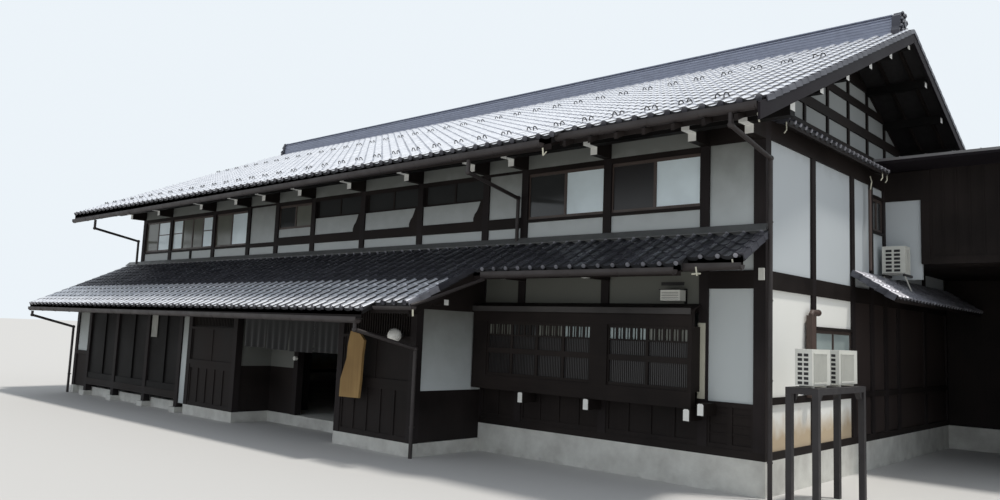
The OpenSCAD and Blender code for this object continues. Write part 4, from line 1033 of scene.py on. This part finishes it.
def wing_end():
    """Boards over the plaster of the wing's right end, its bargeboard, and the pipe that runs below it."""
    boards, pipe = Shape(), Shape()
    lo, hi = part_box("wing_roof")
    slope = SLOPES["wing"]
    rise = slope.along.z / slope.along.dot(slope.into)

    def under(y, up=0.0):
        return y, lo.z + rise * (y - lo.y) + up

    face, plaster_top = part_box("wing_plaster")[1].x, 2.46
    front, back = HOUSE_LO.y + WING_FACE + 0.12, HOUSE_LO.y
    boards.prism([(front, plaster_top), (back, plaster_top), under(back), under(front)],
                 "x", face, face + 0.015)
    foot, head = lo.y + 0.25, back - 0.05
    boards.prism([under(foot, -0.13), under(head, -0.13), under(head, 0.01), under(foot, 0.01)],
                 "x", hi.x - 0.035, hi.x - 0.008)
    start, end = next(b for b in placed_solids("gutters") if 2.7 < b[0][2] < 3.6 and b[0][1] > -2.0)
    pipe.tube([spot(start[0] + 0.04, (start[1] + end[1]) / 2, start[2] - 0.01), spot(-4.50, -2.30, 2.555),
               spot(-4.52, -2.58, 2.47)], 0.028, 10)
    boards.piece("wing_end_boards", BEAM_WOOD, "dark_timber")
    pipe.piece("wing_end_pipe", GUTTER_PAINT, "brown_gutter", smooth=40)


def wall_trim():
    """Small timbers: a strut under the upper windows, the post beside the vent hood, the shutters' rails."""
    shape = Shape()
    x0, x1 = front_bay(11)
    FRONT.lay(shape, (x0 + x1) / 2 - 0.04, (x0 + x1) / 2 + 0.04, 3.73, 4.01, 0.030)
    FRONT.lay(shape, -1.285, -1.245, 2.65, 2.875, 0.020)
    for i in (5, 6, 7):
        WING.lay(shape, *front_bay(i, WING_POSTS), 0.47, 0.62, 0.016)
    shape.piece("wall_trim", SHUTTER_WOOD, "joinery")


SHEET_W = 0.42       # about, of each metal sheet of the rear wing's roof


def rear_wing_boards():
    """Battens and rails over the rear wing's boards, and the seams of its metal roof with a pale strip along
    its front edge, painted as its lit top.
    """
    shape, seams = Shape(), Shape()
    lo, hi = from_corner(*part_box("rear_wing_walls"))
    front, side, rear = lo[1] + PANEL_IN, hi[0] - PANEL_IN, hi[1]
    # Each wall's ends, the feet and tops of its battens, how many spaces they leave, and its rail
    walls = ((Wall("x", front, -1), 0.77, side, 3.66, 5.38, 13, 3.66),
             (Wall("y", side, 1), front + 0.1, rear, 0.49, 5.10, 18, 2.40),
             (Wall("x", rear, 1), 0.0, side, 0.49, 4.95, 16, 2.40))
    for wall, u0, u1, foot, top, count, rail in walls:
        wall.row(shape, u0, u1, foot, top, count, 0.032, 0.014, ends=True)
        wall.lay(shape, u0, u1, rail, rail + 0.14, 0.026)
    shape.piece("rear_wing_battens", BOARD_WOOD, "wall_boards")
    lo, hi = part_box("rear_wing_roof")
    first, last, half = lo.x + 0.01, hi.x - 0.01, 0.009
    sheets = round((hi.x - lo.x) / SHEET_W)
    for k in range(sheets + 1):
        x = first + (last - first) * k / sheets
        seams.prism([(lo.y, hi.z - 0.002), (hi.y, lo.z + 0.078), (hi.y, lo.z + 0.105), (lo.y, hi.z + 0.025)],
                    "x", x - half, x + half)
    # Painted highlight: a pale strip along the roof's front edge, lit on top, above its dark shaded face.
    seams.box((lo.x, lo.y - 0.012, hi.z - 0.035), (hi.x, lo.y, hi.z + 0.012))
    seams.piece("rear_wing_roof_seams_and_lit_edge", PALE_METAL, "sheet_roof")


# Windows

# The bay's upper lights from the left: the tone of each pane, and its openings
BAY_TONES = (2, 1, 2, 3, 3, 2)
BAY_OPENINGS = (4, 4, 4, 4, 5, 5)
UPPER_LIGHTS = (2.09, 2.26)                        # from and to which height
LATTICED_LIGHTS = ((1.42, 1.76), (1.85, 2.065))
LINE_SPACING = 0.034                               # about, between the lattice lines


def glazing_bars():
    """A bar across three of the upper windows' lights."""
    bars = Shape()
    for k in (1, 2, 5):
        lo, hi = FRONT_LIGHTS[k]
        z = lo[2] + 0.55 * (hi[2] - lo[2])
        bars.box(spot(lo[0], lo[1] - 0.010, z - 0.012), spot(hi[0], lo[1], z + 0.012))
    bars.piece("glazing_bars", WINDOW_PAINT, "window_frames")


def bay_lights():
    """Panes, thin bars and close lattice lines in the sashes of the lattice bay."""
    lines, panes = Shape(), Shape()
    upper = zip(BAY_TONES, BAY_OPENINGS)
    frames = sorted(placed_solids("bay_sashes"), key=lambda b: b[0][0])
    for (lo, hi), count in zip(frames, (4, 2)):
        width, y = (hi[0] - lo[0]) / count, hi[1]
        for i in range(count):
            a, b = lo[0] + i * width + 0.025, lo[0] + (i + 1) * width - 0.025
            tone, openings = next(upper)
            z0, z1 = UPPER_LIGHTS
            panes.box(spot(a, y - 0.006, z0), spot(b, y - 0.003, z1), tone)
            for j in range(openings):
                x = a + (b - a) * (j + 0.5) / openings
                lines.box(spot(x - 0.008, y - 0.020, z0), spot(x + 0.008, y - 0.007, z1))
            steps = round((b - a) / LINE_SPACING)
            for z0, z1 in LATTICED_LIGHTS:
                panes.box(spot(a, y - 0.006, z0), spot(b, y - 0.003, z1))
                for j in range(1, steps):
                    x = a + (b - a) * j / steps
                    lines.box(spot(x - 0.003, y - 0.016, z0), spot(x + 0.003, y - 0.007, z1))
    panes.piece("bay_panes", [DARK_GLASS, DIM_GLASS, GREY_GLASS, CLOUDED_GLASS], "window_glass")
    lines.piece("bay_lattice_lines", SASH_WOOD, "joinery")


# Cloth, lamps and metalwork

STRIP_FEET = (1.62, 1.60, 1.585, 1.60)     # the height of each curtain strip's lower edge
POLE_R = 0.022
STRAP_SPACING = 0.9      # about, along the gutters
CLIP_SPACING = 1.1       # up the downpipes


def curtain():
    """Four hanging strips with soft folds, sewn round the pole."""
    pole_y = WING_FACE + 0.040
    pole = spot(0, pole_y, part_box("entrance_curtain")[1].z + 0.018)
    columns, rows, wrap = 48, 14, 6
    strips = sorted(placed_solids("entrance_curtain"), key=lambda b: b[0][0])
    for k, ((lo, hi), foot) in enumerate(zip(strips, STRIP_FEET)):
        width, hang = hi[0] - lo[0], pole.z - foot
        # A little over three folds in the first strip, and slightly more in each further one
        wave = 2 * math.pi * (3.2 + 0.3 * k) / width
        points = []
        for r in range(wrap + rows + 1):
            turn = math.pi * min(r, wrap) / wrap
            deep = max(r - wrap, 0) / rows
            back, z = POLE_R * math.cos(turn), pole.z + POLE_R * math.sin(turn) - hang * deep
            # The folds get deeper towards the foot and draw the strip in
            slope = 0.42 * deep
            shrink = 1 - 0.25 * slope * slope
            for c in range(columns + 1):
                u = (c / columns - 0.5) * width
                fold = slope / wave * math.sin(wave * u + 1.3 * k)
                points.append(spot((lo[0] + hi[0]) / 2 + u * shrink, pole_y + back + fold, z))
        n = columns + 1
        shape = Shape()
        shape.add(points, [(r * n + c, r * n + c + 1, (r + 1) * n + c + 1, (r + 1) * n + c)
                           for r in range(wrap + rows) for c in range(columns)])
        piece = shape.piece("curtain_strip_%d" % (k + 1), CURTAIN_CLOTH, "curtain_cloth",
                            smooth=60, closed=False)
    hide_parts("entrance_curtain")


def unit_faces():
    """Slots and grilles on the air conditioners, the small one's arms and the stand's gussets; the slots are
    dark boxes, painted shade in the openings.
    """
    dark, grille, pale, gussets = Shape(), Shape(), Shape(), Shape()
    for lo, hi in placed_solids("air_conditioners"):
        small = lo[2] > 3.0
        rows = 6 if small else 7
        width, depth, height = hi - lo
        pitch = 0.84 * height / rows
        # Painted shade: dark boxes on the casing's face stand for the shade inside its slots, with a dark
        # line near its foot.
        for r in range(rows):
            for share in (0.16, 0.52):
                x, z = lo[0] + share * width, lo[2] + 0.09 * height + r * pitch
                dark.box(spot(x, lo[1] - 0.003, z), spot(x + 0.26 * width, lo[1], z + 0.62 * pitch))
        dark.box(spot(lo[0] + 0.01, lo[1] - 0.002, lo[2] + 0.010), spot(hi[0] - 0.01, lo[1], lo[2] + 0.018))
        y0, y1 = lo[1] + 0.10 * depth, lo[1] + 0.78 * depth
        z0, z1 = lo[2] + 0.06, hi[2] - 0.05
        grille.box(spot(hi[0], y0, z0), spot(hi[0] + 0.003, y1, z1), 1 if small else 0)
        count = round((y1 - y0) / 0.022)
        for k in range(count + 1):
            y = y0 + (y1 - y0) * k / count
            pale.box(spot(hi[0] + 0.003, y - 0.004, z0), spot(hi[0] + 0.010, y + 0.004, z1))
        for z in (z0, z1):
            pale.box(spot(hi[0], y0 - 0.012, z - 0.008), spot(hi[0] + 0.014, y1 + 0.012, z + 0.008))
        if small:
            for x in (lo[0] + 0.02, hi[0] - 0.02):
                pale.tube([spot(x, lo[1] + 0.03, lo[2] - 0.03), spot(x, hi[1] + 0.13, lo[2] - 0.30)],
                          0.014, 6)
    dark.piece("unit_slot_shade", DARK_PAINT, "painted_casing")
    grille.piece("unit_grilles", [GRILLE_PAINT, DARK_PAINT], "painted_casing")
    pale.piece("unit_bars", CASING_PAINT, "painted_casing")
    lo, hi = next(b for b in solids("unit_stand") if b[1][2] < 2)
    under, reach = 1.49, 0.10
    for y, turn in ((lo[1] + 0.11, 1), (hi[1] - 0.11, -1)):
        for x in (lo[0] + 0.02, hi[0] - 0.09):
            gussets.prism([(y, under), (y + turn * reach, under), (y, under - reach)], "x", x, x + 0.07)
    gussets.piece("stand_gussets", STAND_PAINT, "stand_paint")


def duct_and_boxes():
    """The duct's elbow, the vent hood's louvre with painted shade and shadow, the strip on the post and the
    board on the shutters.
    """
    brown, white, dark, dim = Shape(), Shape(), Shape(), Shape()
    x, end, z = 0.045, 1.80, 2.61
    brown.tube([spot(x, 1.52, z - 0.11), spot(x, 1.52, z - 0.035), spot(x, 1.56, z), spot(x, end, z)],
               0.042, 12)
    brown.tube([spot(x, end - 0.04, z), spot(x, end, z)], 0.052, 12)
    brown.piece("duct_elbow", DUCT_PAINT, "painted_casing", smooth=40)
    FRONT.lay(white, -1.04, -0.92, 1.27, 2.37, 0.012, under=PANEL_IN)
    white.piece("white_strip", CREAM_PAINT, "painted_casing", edge=0.002)
    WING.lay(dim, -15.02, -14.72, 1.68, 2.28, 0.008)
    dim.piece("shutter_notice_board", GRILLE_PAINT, "painted_casing")
    lo, hi = next(b for b in placed_solids("wall_fittings") if b[0][1] < -0.1)
    # Painted shade: dark lines between the louvre blades stand for the shade in their gaps.
    for k in range(5):
        z = lo[2] + 0.02 + 0.025 * k
        dark.box(spot(lo[0] + 0.02, lo[1] - 0.003, z), spot(hi[0] - 0.02, lo[1], z + 0.006))
    dark.box(spot(lo[0] - 0.02, lo[1] - 0.01, hi[2]), spot(hi[0] + 0.02, 0.03, hi[2] + 0.012))
    # Painted shadow: a dark strip on the wall just above the vent hood.
    dark.box(spot(-1.69, 0.020, 2.93), spot(-1.30, 0.034, 2.98))
    dark.piece("vent_slots_and_shadow", DARK_PAINT, "painted_casing")


def gutter_lines(straps, lips):
    """Straps round the gutters, and the lip along each one's outer edge."""
    for lo, hi in solids("gutters"):
        out = -1 if lo[1] < 0 else 1
        y, edge = (lo[1] + hi[1]) / 2, lo[1] if out < 0 else hi[1]
        length, fall = hi[0] - lo[0], hi[2] - lo[2] - 0.06
        # The main roof's gutters fall to the left, apart from the short one at its left end
        to_left = hi[0] > HOUSE_LO.x + 1 and lo[2] > 4
        left, right = (hi[2] - fall, hi[2]) if to_left else (hi[2], hi[2] - fall)
        lips.prism([(lo[0], left - 0.01), (hi[0], right - 0.01), (hi[0], right + 0.04), (lo[0], left + 0.04)],
                   "y", edge, edge - out * 0.006)
        spaces = max(1, round(length / STRAP_SPACING))
        for k in range(spaces + 1):
            share = k / spaces
            x, z = lo[0] + 0.03 + (length - 0.06) * share, left + (right - left) * share
            path = [(x, y + a, z - b) for a, b in arc(0.062, math.pi, 6)]
            straps.tube((path if out < 0 else path[::-1]) + [(x, y - out * 0.12, z + 0.02)], 0.006, 5)


def pipe_clips(clips):
    """Rings that hold the downpipes, each with a strap to the wall."""
    points = corners("downpipes")
    for lo, hi in solids("downpipes"):
        foot = points[np.all((points > lo - 0.001) & (points < np.array((*hi[:2], lo[2])) + 0.01), axis=1)]
        x, y = foot[:, :2].mean(axis=0)
        z = lo[2] + 0.5
        while z < hi[2] - 1.0:
            clips.tube([(x, y, z - 0.012), (x, y, z + 0.012)], 0.040, 12)
            clips.box((x - 0.010, y, z - 0.010), (x + 0.010, y + 0.06, z + 0.010))
            z += CLIP_SPACING


def end_hooks(hooks):
    """Pale hooks and straps at the ends of the gutters and of the narrow roof on the gable."""
    for x, y, z in ((-2.60, -1.85, 4.84), (0.645, -1.64, 4.93), (-0.46, -1.13, 3.09), (-0.04, -0.92, 3.20)):
        hooks.tube([spot(x - 0.01, y, z), spot(x + 0.02, y - 0.02, z - 0.12)], 0.011, 6)
    hooks.tube([spot(-0.53, -1.13, 2.995), spot(-0.40, -1.13, 3.00)], 0.011, 6)
    hooks.tube([spot(-2.58, -1.87, 4.72), spot(-2.52, -1.87, 4.77)], 0.009, 6)
    for y in (0.14, 4.30, 4.55):
        hooks.tube([spot(0.24, y, 5.26), spot(0.25, y - 0.02, 5.14), spot(0.23, y - 0.05, 5.09)], 0.010, 6)
    hooks.tube([spot(0.08, 4.15, 4.90), spot(0.12, 4.10, 5.05), spot(0.08, 4.15, 5.16)], 0.012, 6)


def metalwork():
    """Gutter straps and lips, pipe clips and hooks."""
    straps, lips, hooks = Shape(), Shape(), Shape()
    gutter_lines(straps, lips)
    pipe_clips(straps)
    end_hooks(hooks)
    straps.piece("gutter_straps", GUTTER_PAINT, "brown_gutter", smooth=40)
    lips.piece("gutter_lips", GUTTER_PAINT, "brown_gutter")
    hooks.piece("gutter_end_hooks", CREAM_PAINT, "painted_casing")


def lamp_fitting():
    """The globe's plate and neck."""
    shape = Shape()
    lo, hi = max(placed_solids("lamps"), key=lambda b: b[1][2] - b[0][2])
    x, z = (lo[0] + hi[0]) / 2, (lo[2] + hi[2]) / 2
    for near, far, radius in ((0.004, 0.05, 0.052), (0.04, 0.075, 0.040)):
        shape.tube([spot(x, WING_FACE - near, z), spot(x, WING_FACE - far, z)], radius, 16)
    shape.piece("globe_fitting", DARK_PAINT, "painted_casing", smooth=40)


# Light, floor and camera

def studio():
    """Pale floor, a soft sky and a high soft sun."""
    floor = bpy.data.meshes.new("floor")
    reach = 400.0
    floor.from_pydata([(-reach, -reach, 0), (reach, -reach, 0), (reach, reach, 0), (-reach, reach, 0)],
                      [], [(0, 1, 2, 3)])
    new_object("floor", floor)
    floor.materials.append(finish("pale_floor", Base_Color=(0.62, 0.61, 0.59, 1), Roughness=0.9,
                                  Specular_IOR_Level=0.0)[0])

    sun = bpy.data.lights.new("sun", "SUN")
    sun.energy = 2.3
    sun.angle = math.radians(6)
    sun.color = (1.0, 0.97, 0.92)
    lamp = new_object("sun", sun)
    towards = Vector((0.30, 0.20, 1.0))
    lamp.rotation_mode = "QUATERNION"
    lamp.rotation_quaternion = towards.to_track_quat("Z", "Y")

    world = bpy.data.worlds.new("sky")
    bpy.context.scene.world = world
    world.use_nodes = True
    tree = world.node_tree
    tree.nodes.clear()
    seen = node(tree, "LightPath")
    direct = node(tree, "Math", {0: seen.outputs["Is Camera Ray"], 1: seen.outputs["Is Glossy Ray"]},
                  operation="MAXIMUM")
    direct = node(tree, "Math", {0: direct.outputs[0], 1: seen.outputs["Is Transmission Ray"]},
                  operation="MAXIMUM")
    shown = node(tree, "Background", {"Color": (0.84, 0.90, 0.95, 1), "Strength": 1.0})
    light = node(tree, "Background", {"Color": (0.86, 0.92, 1.0, 1), "Strength": 0.62})
    both = node(tree, "MixShader", {0: direct.outputs[0], 1: light.outputs[0], 2: shown.outputs[0]})
    out = node(tree, "OutputWorld")
    tree.links.new(both.outputs[0], out.inputs[0])


def street_camera():
    """The photograph's point of view: eye height, looking slightly up along the front."""
    eye = (14.793, -15.859, 2.1)
    yaw, pitch, roll = 0.737, 0.115, 0.040
    ahead = Vector((-math.sin(yaw) * math.cos(pitch), math.cos(yaw) * math.cos(pitch), math.sin(pitch)))
    level = Vector((math.cos(yaw), math.sin(yaw), 0))
    above = level.cross(ahead)
    right = math.cos(roll) * level + math.sin(roll) * above
    up = -math.sin(roll) * level + math.cos(roll) * above
    camera = bpy.data.cameras.new("street_camera")
    camera.sensor_width = 36.0
    camera.lens = 29.87
    camera.shift_y = -0.0126
    camera.clip_end = 1000
    holder = new_object("street_camera", camera)
    holder.matrix_world = Matrix.Translation(eye) @ Matrix((right, up, -ahead)).transposed().to_4x4()
    bpy.context.scene.camera = holder


dress_nodes()
roofs()
fascia_boards()
gable_roofs()
ridge()
ridge_crests()
white_ends()
dado_panels()
friezes()
low_roof_arms()
shelf_edge()
short_gutter()
wing_end()
wall_trim()
rear_wing_boards()
glazing_bars()
bay_lights()
curtain()
unit_faces()
duct_and_boxes()
metalwork()
lamp_fitting()
studio()
street_camera()
bpy.context.scene.view_settings.view_transform = "Standard"
